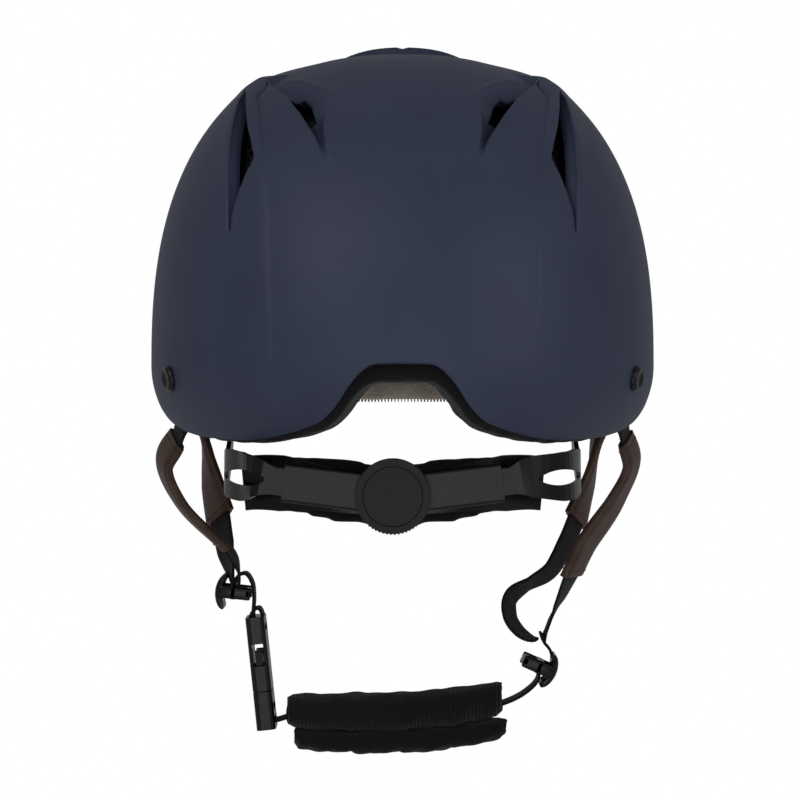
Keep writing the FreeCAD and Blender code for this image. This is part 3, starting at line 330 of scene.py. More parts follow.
def build_shell():
    """The visible skin of the shell, with walls round its openings and a turned-in lower edge."""
    turn, fall, band, place = shell_grid()
    base = dome(turn, fall)
    normal = normals_of(base)
    raised = base + normal * relief(base, band[None, :], place[None, :])[..., None]
    rows, columns = turn.shape
    level = base[..., 2]
    # openings: the slits, and the dark mouth at the head of each scoop
    slit = (band == 6)[None, :] & (level > SLIT_LOW) & (level < SLIT_HIGH) & (base[..., 1] < 0)
    mouth = ((band == 1) & (place >= 0.55))[None, :] & (level > HOLE_LOW) & (level < HOLE_HIGH)
    mouth = mouth & (base[..., 1] < -0.02)
    mesh = bmesh.new()
    points = [[mesh.verts.new(raised[r, c]) for c in range(columns)] for r in range(rows)]
    crown = mesh.verts.new(raised[0].mean(axis=0))
    edge_column = {6: 1, 1: 1}
    open_cell = np.zeros((rows, columns), bool)
    for cells, number in ((slit, 6), (mouth, 1)):
        middle = columns // 2
        for c in range(columns):
            d = (c + edge_column[number]) % columns
            first = c if c >= middle else d
            ok = band[first] == number
            if ok:
                open_cell[:, c] |= cells[:, first]
    for c in range(columns):
        d = (c + 1) % columns
        mesh.faces.new((crown, points[0][c], points[0][d]))
        for r in range(rows - 1):
            if not open_cell[r, c]:
                mesh.faces.new((points[r][c], points[r + 1][c], points[r + 1][d], points[r][d]))
    for vertex in [v for v in mesh.verts if not v.link_faces]:
        mesh.verts.remove(vertex)
    mesh.normal_update()
    mesh.faces.ensure_lookup_table()
    if mesh.faces[0].normal.z < 0:
        bmesh.ops.reverse_faces(mesh, faces=mesh.faces[:])
        mesh.normal_update()
    bottom = {points[-1][c] for c in range(columns)}

    def turn_in(edges, steps, way):
        """Extrudes a boundary through steps of (distance along way, sideways shift towards the middle)."""
        parents = {v: way(v) for e in edges for v in e.verts}
        for drop, shift, rise in steps:
            made = bmesh.ops.extrude_edge_only(mesh, edges=edges)["geom"]
            fresh = {}
            for vertex in (g for g in made if isinstance(g, bmesh.types.BMVert)):
                old = next(e.other_vert(vertex) for e in vertex.link_edges if e.other_vert(vertex) in parents)
                inward, sideways = parents[old]
                vertex.co += inward * drop + sideways * shift + Vector((0, 0, rise))
                fresh[vertex] = parents[old]
            parents = fresh
            edges = [g for g in made if isinstance(g, bmesh.types.BMEdge) and g.is_boundary]

    outer_slit = {points[r][c] for c in range(columns) for r in range(rows)
                  if points[r][c].is_valid and (band[c] == 7 and place[c] == 0)}

    def into_wall(vertex):
        width = 0.0
        if vertex in outer_slit:
            level_here = vertex.co.z
            width = float(np.clip(line(SLIT_OUT, level_here) - line(SLIT_IN, level_here), 0, 0.004)) * 0.45
        return -vertex.normal.copy(), Vector((-math.copysign(1, vertex.co.x), 0, 0)) * width

    holes = [e for e in mesh.edges if e.is_boundary and not (e.verts[0] in bottom and e.verts[1] in bottom)]
    turn_in(holes, ((0.0005, 0.12, 0), (0.0013, 0.0, 0), (0.0001, 0.88, 0), (0.0024, 0, 0)), into_wall)
    rims = [e for e in mesh.edges if e.is_boundary and e.verts[0] in bottom and e.verts[1] in bottom]

    def under_rim(vertex):
        return -vertex.normal.copy(), Vector()

    turn_in(rims, ((0.0003, 0, -0.0004), (0.0010, 0, -0.0003), (0.0012, 0, 0.0003), (0.0003, 0, 0.006)), under_rim)
    data = bpy.data.meshes.new("shell_skin")
    mesh.to_mesh(data)
    mesh.free()
    data.shade_smooth()
    item = bpy.data.objects.new("shell_skin", data)
    bpy.context.collection.objects.link(item)
    return item


def sharpen(item, degrees):
    """Keeps edges crisp above an angle and smooths the rest."""
    bpy.context.view_layer.objects.active = item
    item.select_set(True)
    bpy.ops.object.shade_auto_smooth(angle=math.radians(degrees))
    item.select_set(False)


def moulding(name, colour, roughness, grain, depth, second=None, patch=0.03):
    """Moulded plastic: a fine spark-eroded grain, faint cloudy colour and uneven gloss."""
    finish = bpy.data.materials.new(name)
    finish.use_nodes = True
    nodes, links = finish.node_tree.nodes, finish.node_tree.links
    shader = nodes["Principled BSDF"]
    shader.inputs["Specular IOR Level"].default_value = 0.25
    place = nodes.new("ShaderNodeTexCoord")
    cloud = nodes.new("ShaderNodeTexNoise")
    cloud.inputs["Scale"].default_value = 1 / patch
    cloud.inputs["Detail"].default_value = 3
    links.new(place.outputs["Object"], cloud.inputs["Vector"])
    tint = nodes.new("ShaderNodeValToRGB")
    tint.color_ramp.elements[0].position, tint.color_ramp.elements[1].position = 0.35, 0.65
    tint.color_ramp.elements[0].color = (*colour, 1)
    tint.color_ramp.elements[1].color = (*(second or [c * 1.12 for c in colour]), 1)
    links.new(cloud.outputs["Fac"], tint.inputs["Fac"])
    links.new(tint.outputs["Color"], shader.inputs["Base Color"])
    gloss = nodes.new("ShaderNodeMapRange")
    gloss.inputs["To Min"].default_value = roughness - 0.04
    gloss.inputs["To Max"].default_value = roughness + 0.04
    links.new(cloud.outputs["Fac"], gloss.inputs["Value"])
    links.new(gloss.outputs["Result"], shader.inputs["Roughness"])
    fine = nodes.new("ShaderNodeTexNoise")
    fine.inputs["Scale"].default_value = 1 / grain
    fine.inputs["Detail"].default_value = 2
    links.new(place.outputs["Object"], fine.inputs["Vector"])
    bump = nodes.new("ShaderNodeBump")
    bump.inputs["Strength"].default_value = 1
    bump.inputs["Distance"].default_value = depth
    links.new(fine.outputs["Fac"], bump.inputs["Height"])
    links.new(bump.outputs["Normal"], shader.inputs["Normal"])
    return finish


navy = moulding("matte_navy_paint", (0.0290, 0.0365, 0.0690), 0.52, 0.0009, 0.00001)
shell = build_shell()
sharpen(shell, 38)
shell.data.materials.append(navy)
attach(shell, "helmet")
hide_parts("outer_shell")

# ---------------------------------------------------------------- foam liner
# Moulded black EPS foam, 20 to 30 mm thick, that crushes in a fall. It is pressed into the shell and shows
# only in the vents, inside the cavity and at the seats of the rivets.


def dress(finish, *names):
    """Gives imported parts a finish."""
    for name in names:
        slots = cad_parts[name].data.materials
        slots.clear()
        slots.append(finish)


def foam(name, colour, bead):
    """Fused foam beads: dark seams round pale cells, and a dull surface."""
    finish = bpy.data.materials.new(name)
    finish.use_nodes = True
    nodes, links = finish.node_tree.nodes, finish.node_tree.links
    shader = nodes["Principled BSDF"]
    shader.inputs["Roughness"].default_value = 0.8
    shader.inputs["Specular IOR Level"].default_value = 0.2
    place = nodes.new("ShaderNodeTexCoord")
    cells = nodes.new("ShaderNodeTexVoronoi")
    cells.feature = "DISTANCE_TO_EDGE"
    cells.inputs["Scale"].default_value = 1 / bead
    links.new(place.outputs["Object"], cells.inputs["Vector"])
    tint = nodes.new("ShaderNodeValToRGB")
    tint.color_ramp.elements[0].position, tint.color_ramp.elements[1].position = 0.0, 0.12
    tint.color_ramp.elements[0].color = (*[c * 0.6 for c in colour], 1)
    tint.color_ramp.elements[1].color = (*colour, 1)
    links.new(cells.outputs["Distance"], tint.inputs["Fac"])
    links.new(tint.outputs["Color"], shader.inputs["Base Color"])
    bump = nodes.new("ShaderNodeBump")
    bump.inputs["Strength"].default_value = 0.6
    bump.inputs["Distance"].default_value = 0.0003
    links.new(cells.outputs["Distance"], bump.inputs["Height"])
    links.new(bump.outputs["Normal"], shader.inputs["Normal"])
    return finish


black_foam = foam("black_foam", (0.016, 0.016, 0.018), 0.004)
dress(black_foam, "impact_liner")

# ---------------------------------------------------------------- edge binding
# A strip of flocked foam glued round the liner's lower edge. It fills the gap between shell and cavity, hangs
# 8 mm deep in the nape notch and shows as a thin fuzzy line elsewhere.
CAVITY = (0.088, 0.106, 0.104, 0.117, 0.400)
BINDING_TALL, BINDING_DROP, NOTCH_DROP = 0.004, 0.0015, 0.008
SKIN_DEPTH = 0.0036
STRAP_TURNS, STRAP_SPAN, STRAP_RECESS = (76, 109), 12, 0.0066


def cavity(turn, fall, depth=0.0):
    """The wall of the head cavity, by turn and fall; depth goes towards the head."""
    side, rear, front, rise, tuck = [value - depth for value in CAVITY]
    across, along = np.sin(turn), np.cos(turn)
    reach = (np.abs(across / side) ** PLAN_POWER
             + np.abs(along / np.where(along > 0, rear, front)) ** PLAN_POWER) ** (-1 / PLAN_POWER)
    low = fall > math.pi / 2
    power = np.where(low, 2.0, LENGTH_POWER + (SIDE_POWER - LENGTH_POWER) * across**2)
    height = np.where(low, tuck, rise)
    out, up = np.sin(fall), np.cos(fall)
    ray = ((out / reach) ** power + (np.abs(up) / height) ** power) ** (-1 / power)
    return np.stack([ray * out * across, -ray * out * along, EQUATOR + ray * up], axis=-1)


def on_skin(skin, turn, level, depth=0.0):
    """The point of a skin at a turn and a level."""
    turn, level, depth = np.broadcast_arrays(np.asarray(turn, float), level, depth)
    low, high = np.zeros(turn.shape), np.full(turn.shape, math.radians(170))
    for _ in range(30):
        middle = (low + high) / 2
        above = skin_at(skin, turn, middle, depth)[..., 2] > level
        low, high = np.where(above, middle, low), np.where(above, high, middle)
    return skin_at(skin, turn, low, depth)


def skin_at(skin, turn, fall, depth):
    if np.ndim(depth) == 0 or np.ptp(depth) == 0:
        return skin(turn, fall, float(np.ravel(depth)[0]))
    near, far = float(depth.min()), float(depth.max())
    mix = ((depth - near) / (far - near))[..., None]
    return skin(turn, fall, near) * (1 - mix) + skin(turn, fall, far) * mix


def loft(name, rings, closed=False, smooth=True):
    """A solid through rings of points, each ring closed; the ends are capped, or joined if closed."""
    rings = np.asarray(rings, float)
    count, size = rings.shape[:2]
    faces = []
    for i in range(count if closed else count - 1):
        j = (i + 1) % count
        for k in range(size):
            m = (k + 1) % size
            faces.append((i * size + k, i * size + m, j * size + m, j * size + k))
    if not closed:
        faces.append(tuple(range(size - 1, -1, -1)))
        faces.append(tuple((count - 1) * size + k for k in range(size)))
    data = bpy.data.meshes.new(name)
    data.from_pydata(rings.reshape(-1, 3).tolist(), [], faces)
    shape = bmesh.new()
    shape.from_mesh(data)
    bmesh.ops.recalc_face_normals(shape, faces=shape.faces)
    shape.to_mesh(data)
    shape.free()
    if smooth:
        data.shade_smooth()
    item = bpy.data.objects.new(name, data)
    bpy.context.collection.objects.link(item)
    return item


def cloth(name, colour, fibre, depth, sheen=0.3, ribs=None, rough=0.9):
    """Fabric: fine fibres, an optional rib along one axis, uneven dye and a soft sheen."""
    finish = bpy.data.materials.new(name)
    finish.use_nodes = True
    nodes, links = finish.node_tree.nodes, finish.node_tree.links
    shader = nodes["Principled BSDF"]
    shader.inputs["Roughness"].default_value = rough
    shader.inputs["Specular IOR Level"].default_value = 0.15
    shader.inputs["Sheen Weight"].default_value = sheen
    shader.inputs["Sheen Roughness"].default_value = 0.5
    place = nodes.new("ShaderNodeTexCoord")
    fuzz = nodes.new("ShaderNodeTexNoise")
    fuzz.inputs["Scale"].default_value = 1 / fibre
    fuzz.inputs["Detail"].default_value = 4
    links.new(place.outputs["Object"], fuzz.inputs["Vector"])
    tint = nodes.new("ShaderNodeValToRGB")
    tint.color_ramp.elements[0].position, tint.color_ramp.elements[1].position = 0.3, 0.7
    tint.color_ramp.elements[0].color = (*[c * 0.65 for c in colour], 1)
    tint.color_ramp.elements[1].color = (*[c * 1.35 for c in colour], 1)
    links.new(fuzz.outputs["Fac"], tint.inputs["Fac"])
    links.new(tint.outputs["Color"], shader.inputs["Base Color"])
    height = fuzz.outputs["Fac"]
    if ribs:
        axis, pitch = ribs
        wave = nodes.new("ShaderNodeTexWave")
        wave.bands_direction = axis
        wave.inputs["Scale"].default_value = math.pi * 2 / (20 * pitch)
        wave.inputs["Distortion"].default_value = 0.6
        links.new(place.outputs["Object"], wave.inputs["Vector"])
        both = nodes.new("ShaderNodeMath")
        both.operation = "MULTIPLY_ADD"
        both.inputs[1].default_value = 1.5
        links.new(wave.outputs["Fac"], both.inputs[0])
        links.new(height, both.inputs[2])
        height = both.outputs["Value"]
    bump = nodes.new("ShaderNodeBump")
    bump.inputs["Strength"].default_value = 1
    bump.inputs["Distance"].default_value = depth
    links.new(height, bump.inputs["Height"])
    links.new(bump.outputs["Normal"], shader.inputs["Normal"])
    return finish


def ripple(points, size, amount, seed):
    """A smooth, repeatable unevenness for a set of points, in metres."""
    p = np.asarray(points) / size
    waves = [(1.0, 1.7, 0.6), (-1.3, 0.8, 1.9), (0.4, -2.1, 1.2), (2.3, 0.9, -1.6), (-0.7, 1.4, 2.6)]
    total = sum(np.sin(p[..., 0] * a + p[..., 1] * b + p[..., 2] * c + seed * (k + 1.3))
                for k, (a, b, c) in enumerate(waves))
    return total[..., None] * amount / 2.4


def build_binding():
    turns = np.radians(np.concatenate([np.arange(-38, 38, 0.5), np.arange(38, 322, 1.5)]))
    degrees = np.abs(np.degrees(np.remainder(turns + math.pi, 2 * math.pi) - math.pi))
    in_notch = np.where(degrees < 34, 1 - share(NOTCH, degrees), 0)
    low = rim(turns) - BINDING_DROP - (NOTCH_DROP - BINDING_DROP) * in_notch
    top = rim(turns) + BINDING_TALL - 0.0005
    near = np.minimum(np.abs(degrees - STRAP_TURNS[0]), np.abs(degrees - STRAP_TURNS[1]))
    depth = SKIN_DEPTH + STRAP_RECESS * np.clip((STRAP_SPAN - near) / 3, 0, 1)
    outer_top = on_skin(dome, turns, top, depth)
    outer_low = on_skin(dome, turns, low, depth)
    inner_low, inner_top = on_skin(cavity, turns, low), on_skin(cavity, turns, top)
    columns = []
    for a, b, steps in ((outer_top, outer_low, 7), (outer_low, inner_low, 9), (inner_low, inner_top, 6),
                        (inner_top, outer_top, 4)):
        for k in range(steps):
            columns.append(a + (b - a) * k / steps)
    rings = np.stack(columns, axis=1)
    # the lower corners are soft: pull each point towards the ring's middle near them
    corner_out, corner_in = 7, 16
    for k in range(rings.shape[1]):
        for corner in (corner_out, corner_in):
            away = abs(k - corner)
            if away < 3:
                centre = (rings[:, (corner - 3) % 26] + rings[:, (corner + 3) % 26]) / 2
                rings[:, k] += (centre - rings[:, k]) * (0.32, 0.16, 0.05)[away]
    rings += ripple(rings, 0.0035, 0.00018, 1.0)
    return loft("flocked_binding", rings, closed=True)


flock = cloth("black_flock", (0.0045, 0.0045, 0.0050), 0.0009, 0.0004, sheen=0.12)
binding = build_binding()
binding.data.materials.append(flock)
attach(binding, "helmet")
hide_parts("edge_binding")

# ---------------------------------------------------------------- vent meshes
# Perforated black plastic plates set in the foam behind the slit vents, so that grit stays out.
mesh_plastic = moulding("vent_mesh_plastic", (0.006, 0.006, 0.007), 0.55, 0.0006, 0.00001)
dress(mesh_plastic, "vent_mesh_left", "vent_mesh_right")

# ---------------------------------------------------------------- peak
# A short moulded visor, 3 mm thick with a rounded lip, painted with the shell and fixed over the brow.
PEAK_SPAN, PEAK_LEVEL, PEAK_DROP, PEAK_REACH, PEAK_THICK = 56, 0.015, 0.011, 0.046, 0.003


def build_peak():
    rings = []
    for part in np.linspace(-1, 1, 73):
        turn = math.radians(180 + PEAK_SPAN * part)
        root = on_skin(dome, np.array([turn]), PEAK_LEVEL, -0.0004)[0]
        out = np.array([root[0], root[1], 0]) / math.hypot(root[0], root[1])
        out = out + np.array([0, 0.9, 0]) * (1 - abs(part)) + np.array([0, 0.6, 0])
        out /= np.linalg.norm(out)
        reach = 0.005 + (PEAK_REACH - 0.005) * (1 - part * part) ** 0.8
        tip = root + out * reach - np.array([0, 0, PEAK_DROP * reach / PEAK_REACH])
        upper, lower = [], []
        for t in np.linspace(0, 1, 12):
            p = root + (tip - root) * t + np.array([0, 0, 0.0030 * math.sin(math.pi * t)])
            half = PEAK_THICK / 2 * math.sqrt(max(0.0, 1 - max(0, (t - 0.9) / 0.1) ** 2))
            middle = p - np.array([0, 0, PEAK_THICK / 2])
            upper.append(middle + np.array([0, 0, half]))
            lower.append(middle - np.array([0, 0, half]))
        rings.append(upper + lower[-2::-1])
    return loft("painted_peak", rings)


peak = build_peak()
sharpen(peak, 50)
peak.data.materials.append(navy)
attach(peak, "helmet")
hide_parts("peak")

# ---------------------------------------------------------------- strap rivets
# Four blackened steel rivets with a domed head and a shallow dish, through shell and strap onto a washer
# behind. The rear pair sits low on the sides of the shell.
RIVET_PLACES = ((54.5, 0.009), (-54.5, 0.009), (118, 0.030), (-118, 0.030))
RIVET_HEAD = ((0.0, 0.0014), (0.0016, 0.0014), (0.0028, 0.0017), (0.0036, 0.0022), (0.0043, 0.0022),
              (0.0050, 0.0017), (0.0055, 0.0008), (0.0055, 0.0002), (0.0050, -0.0001), (0.0020, -0.0001),
              (0.0020, -0.0048), (0.0, -0.0048))


def turned(profile, count, place, axis):
    """Rings of a turned part: a profile of (radius, height) spun round an axis at a place."""
    rotation = np.array(Vector(axis).to_track_quat("Z", "Y").to_matrix())
    rings = []
    for angle in np.linspace(0, 2 * math.pi, count, endpoint=False):
        rings.append([[max(r, 1e-5) * math.cos(angle), max(r, 1e-5) * math.sin(angle), h] for r, h in profile])
    return np.asarray(rings) @ rotation.T + np.asarray(place)


def joined(name, items, finish):
    """One piece out of several."""
    bpy.ops.object.select_all(action="DESELECT")
    for item in items:
        item.select_set(True)
    bpy.context.view_layer.objects.active = items[0]
    bpy.ops.object.join()
    whole = bpy.context.object
    whole.name = name
    whole.data.materials.clear()
    whole.data.materials.append(finish)
    whole.select_set(False)
    return whole


def spin(name, profile, place, axis, count=40):
    """A turned part as a mesh."""
    item = loft(name, turned(profile, count, place, axis), closed=True)
    shape = bmesh.new()
    shape.from_mesh(item.data)
    bmesh.ops.remove_doubles(shape, verts=shape.verts, dist=5e-5)
    bmesh.ops.recalc_face_normals(shape, faces=shape.faces)
    shape.to_mesh(item.data)
    shape.free()
    return item


def metal(name, colour, roughness, shine=1.0):
    finish = moulding(name, colour, roughness, 0.0012, 0.000004)
    finish.node_tree.nodes["Principled BSDF"].inputs["Metallic"].default_value = shine
    return finish


def skin_normal(turn, level):
    """The outward direction of the shell at a turn and level."""
    step = 0.01
    here = on_skin(dome, np.array([turn]), level)[0]
    up = on_skin(dome, np.array([turn]), level + 0.0005)[0] - here
    round_ = on_skin(dome, np.array([turn + step]), level)[0] - here
    normal = np.cross(round_, up)
    return here, normal / np.linalg.norm(normal)


black_steel = metal("blackened_steel", (0.020, 0.020, 0.021), 0.30, 0.7)
heads = []
for degrees, level in RIVET_PLACES:
    here, out = skin_normal(math.radians(degrees), level)
    if np.dot(out, here - np.array([0, 0, EQUATOR])) < 0:
        out = -out
    heads.append(spin("head", RIVET_HEAD, here, out))
rivets = joined("domed_rivets", heads, black_steel)
sharpen(rivets, 35)
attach(rivets, "helmet")
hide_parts("strap_rivets")
dress(metal("washer_steel", (0.35, 0.35, 0.36), 0.35), "rivet_backs")

# ---------------------------------------------------------------- straps
# Black ribbed polyester webbing, 15 mm wide, from each rivet down between shell and foam to a divider under
# the ear. Each is one woven strip, so only its ribs and its curve show.
WEB_WIDE, WEB_THICK = 0.015, 0.0012
INSIDE_DEPTH = 0.0048
# inside: (degrees of turn, level in mm); hanging: (x, y, z in mm, facing in degrees, lift); stations in leather
ROUTES = {
    "rear_left": (
        [(-54.5, 9), (-64, 3), (-72, -4), (-77, -9)],
        [(-99, -18.5, -17, 198, 0), (-105, -15, -28, 202, 0), (-98, -9, -46, 198, 0),
         (-79.5, -2.5, -65.5, 194, 0), (-73.9, 3, -73, 188, 0), (-73.4, 7, -79.5, 184, 0),
         (-74.1, 9, -84.5, 180, 0), (-74.1, 9, -89, 180, 0)], 4),
    "front_left": (
        [(-118, 30), (-113, 18), (-109, 12)],
        [(-95, 41, -2, 165, 0), (-91, 40, -18, 180, 0), (-88, 34, -36, 205, 0), (-83, 25, -54, 222, 0),
         (-80, 17, -67, 216, 0), (-77.2, 11.5, -77, 192, 0), (-75.9, 9, -84.5, 180, 0),
         (-75.9, 9, -89, 180, 0)], 4),
    "rear_right": (
        [(54.5, 9), (64, 3), (72, -4), (77, -9)],
        [(98, -18.5, -17, -18, 0), (101, -15, -28, -24, 0), (94, -9, -45, -28, 0), (82, -4, -64, -30, 0),
         (75.5, 0, -78, -30, 0), (70, 4, -91, -20, 0), (65.5, 8, -101, -6, 0), (63.6, 9, -107, 0, 0)], 5),
    "front_right": (
        [(118, 30), (113, 18), (109, 12)],
        [(95, 41, -2, 15, 0), (90, 40, -18, 10, 0), (86, 34, -36, -10, 0), (79, 27, -55, -30, 0),
         (73.5, 23.5, -67, -28, 0), (67, 21, -77.5, -45, -0.8), (57, 18.5, -83.5, -80, -2),
         (49, 16, -89.5, -36, -0.5), (48.5, 13.5, -97.5, -28, 0), (52.5, 11, -104, -24, 0.7),
         (57.5, 9.5, -107.3, -20, 3), (60.6, 9, -107.8, 0, 5)], 4),
}


def strand(stations, step):
    """Points, directions, sides and faces along a smooth curve through stations of (point, face)."""
    points = np.array([p for p, _ in stations], float)
    looks = np.array([f for _, f in stations], float)
    looks /= np.linalg.norm(looks, axis=1, keepdims=True)
    spans = np.linalg.norm(np.diff(points, axis=0), axis=1)
    marks = np.concatenate([[0], np.cumsum(np.sqrt(spans))])
    slopes = np.zeros_like(points)
    for i in range(len(points)):
        a, b = max(i - 1, 0), min(i + 1, len(points) - 1)
        if 0 < i < len(points) - 1:
            h0, h1 = marks[i] - marks[a], marks[b] - marks[i]
            slopes[i] = ((points[i] - points[a]) / h0 * h1 + (points[b] - points[i]) / h1 * h0) / (h0 + h1)
        else:
            slopes[i] = (points[b] - points[a]) / (marks[b] - marks[a])
    out_points, out_looks = [], []
    for i in range(len(points) - 1):
        h = marks[i + 1] - marks[i]
        count = max(1, round(spans[i] / step))
        for k in range(count + (i == len(points) - 2)):
            t = k / count
            a, b = 2 * t**3 - 3 * t**2 + 1, t**3 - 2 * t**2 + t
            c, d = -2 * t**3 + 3 * t**2, t**3 - t**2
            out_points.append(a * points[i] + b * h * slopes[i] + c * points[i + 1] + d * h * slopes[i + 1])
            out_looks.append(looks[i] * (1 - t) + looks[i + 1] * t)
    path, look = np.array(out_points), np.array(out_looks)
    along = np.gradient(path, axis=0)
    along /= np.linalg.norm(along, axis=1, keepdims=True)
    side = np.cross(along, look)
    side /= np.linalg.norm(side, axis=1, keepdims=True)
    out = np.cross(side, along)
    return path, along, side, out


def section_loft(name, path, side, out, section):
    """A strip along a path: section gives (sideways, outward) offsets for each point along it."""
    rings = [p + np.outer(shape[:, 0], s) + np.outer(shape[:, 1], o)
             for p, s, o, shape in zip(path, side, out, section)]
    return loft(name, rings)


def rounded_strip(wide, thick, corner=5):
    """The outline of a flat strip with round edges, as (sideways, outward) offsets."""
    r = thick / 2
    ends = np.linspace(-math.pi / 2, math.pi / 2, corner)
    right = np.stack([wide / 2 - r + r * np.cos(ends), r * np.sin(ends)], axis=1)
    top = np.stack([np.linspace(wide / 2 - r, -wide / 2 + r, 7)[1:-1], np.full(5, r)], axis=1)
    left = -right
    return np.concatenate([right, top, left, -top])


def strap_stations(name):
    inside, hanging, leather = ROUTES[name]
    stations = []
    for degrees, level in inside:
        turn = math.radians(degrees)
        here = on_skin(dome, np.array([turn]), level / 1000, INSIDE_DEPTH)[0]
        _, normal = skin_normal(turn, level / 1000)
        if np.dot(normal, here - np.array([0, 0, EQUATOR])) < 0:
            normal = -normal
        stations.append((here, normal))
    for x, y, z, angle, lift in hanging:
        a = math.radians(angle)
        stations.append((np.array([x, y, z]) / 1000, np.array([math.cos(a), math.sin(a), lift])))
    return stations, len(inside), leather


def webbing(name, stations):
    """Webbing whose cross ribs stand up along it."""
    path, along, side, out = strand(stations, 0.0006)
    flat = rounded_strip(WEB_WIDE, WEB_THICK)
    rib = 1 + 0.09 * np.cos(np.arange(len(path)) * math.pi)
    section = [flat * np.array([1.0, r]) for r in rib]
    return section_loft(name, path, side, out, section)


web_black = cloth("black_webbing", (0.0045, 0.0045, 0.0050), 0.0006, 0.00018, sheen=0.08, rough=0.75)
for name in ROUTES:
    stations, inside, leather = strap_stations(name)
    web = webbing("webbing_" + name, stations)
    web.data.materials.append(web_black)
    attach(web, "helmet")
    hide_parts("strap_" + name)

# ---------------------------------------------------------------- leather sleeves
# Two strips of smooth brown leather, 20 mm wide, sewn together over the webbing with a row of stitches 2 mm
# from each edge and a row across each end. They keep the straps from chafing the jaw.
LEATHER_WIDE, LEATHER_EDGE, LEATHER_MIDDLE = 0.020, 0.0024, 0.0042
STITCH_LONG, STITCH_PITCH, STITCH_THICK, STITCH_IN = 0.0024, 0.0033, 0.00055, 0.0022


def leather_section():
    """Thin where the two strips are sewn together, thicker over the webbing, with cut edges."""
    across = np.array([-1, -0.985, -0.93, -0.84, -0.76, -0.70, -0.45, -0.15, 0.15, 0.45, 0.70, 0.76, 0.84,
                       0.93, 0.985, 1]) * LEATHER_WIDE / 2
    swell = ease(0.0088, 0.0064, np.abs(across))
    half = (LEATHER_EDGE + (LEATHER_MIDDLE - LEATHER_EDGE) * swell) / 2
    half[[0, -1]] *= 0.55
    half[[1, -2]] *= 0.9
    half = half - 0.00022 * np.exp(-((np.abs(across) - (LEATHER_WIDE / 2 - STITCH_IN)) / 0.0006) ** 2)
    upper = np.stack([across[::-1], half[::-1]], axis=1)
    return np.concatenate([upper, np.stack([across, -half], axis=1)])


def leather(name, colour, dark):
    """Full-grain leather: pebbled grain, rubbed paler patches and a waxy gloss."""
    finish = bpy.data.materials.new(name)
    finish.use_nodes = True
    nodes, links = finish.node_tree.nodes, finish.node_tree.links
    shader = nodes["Principled BSDF"]
    shader.inputs["Specular IOR Level"].default_value = 0.30
    place = nodes.new("ShaderNodeTexCoord")
    grain = nodes.new("ShaderNodeTexVoronoi")
    grain.inputs["Scale"].default_value = 1100
    links.new(place.outputs["Object"], grain.inputs["Vector"])
    wear = nodes.new("ShaderNodeTexNoise")
    wear.inputs["Scale"].default_value = 90
    wear.inputs["Detail"].default_value = 5
    links.new(place.outputs["Object"], wear.inputs["Vector"])
    tint = nodes.new("ShaderNodeValToRGB")
    tint.color_ramp.elements[0].position, tint.color_ramp.elements[1].position = 0.32, 0.72
    tint.color_ramp.elements[0].color, tint.color_ramp.elements[1].color = (*dark, 1), (*colour, 1)
    links.new(wear.outputs["Fac"], tint.inputs["Fac"])
    links.new(tint.outputs["Color"], shader.inputs["Base Color"])
    gloss = nodes.new("ShaderNodeMapRange")
    gloss.inputs["To Min"].default_value, gloss.inputs["To Max"].default_value = 0.34, 0.52
    links.new(wear.outputs["Fac"], gloss.inputs["Value"])
    links.new(gloss.outputs["Result"], shader.inputs["Roughness"])
    bump = nodes.new("ShaderNodeBump")
    bump.inputs["Strength"].default_value = 0.5
    bump.inputs["Distance"].default_value = 0.00012
    links.new(grain.outputs["Distance"], bump.inputs["Height"])
    links.new(bump.outputs["Normal"], shader.inputs["Normal"])
    return finish


def stitches(name, rows):
    """Sewing thread: one small rounded stitch at each (point, direction, face)."""
    verts, faces = [], []
    for point, along, up in rows:
        side = np.cross(along, up)
        base = len(verts)
        for t, r in ((-1, 0.25), (-0.7, 0.9), (0, 1.0), (0.7, 0.9), (1, 0.25)):
            sink = up * (-0.00030 * t * t)
            for angle in np.linspace(0, 2 * math.pi, 6, endpoint=False):
                spoke = (side * math.cos(angle) + up * math.sin(angle)) * STITCH_THICK / 2 * r
                verts.append(point + along * t * STITCH_LONG / 2 + spoke + sink)
        for i in range(4):
            for k in range(6):
                m = (k + 1) % 6
                faces.append((base + i * 6 + k, base + i * 6 + m, base + i * 6 + 6 + m, base + i * 6 + 6 + k))
        faces.append(tuple(base + k for k in range(5, -1, -1)))
        faces.append(tuple(base + 24 + k for k in range(6)))
    data = bpy.data.meshes.new(name)
    data.from_pydata([tuple(v) for v in verts], [], faces)
    data.shade_smooth()
    item = bpy.data.objects.new(name, data)
    bpy.context.collection.objects.link(item)
    return item


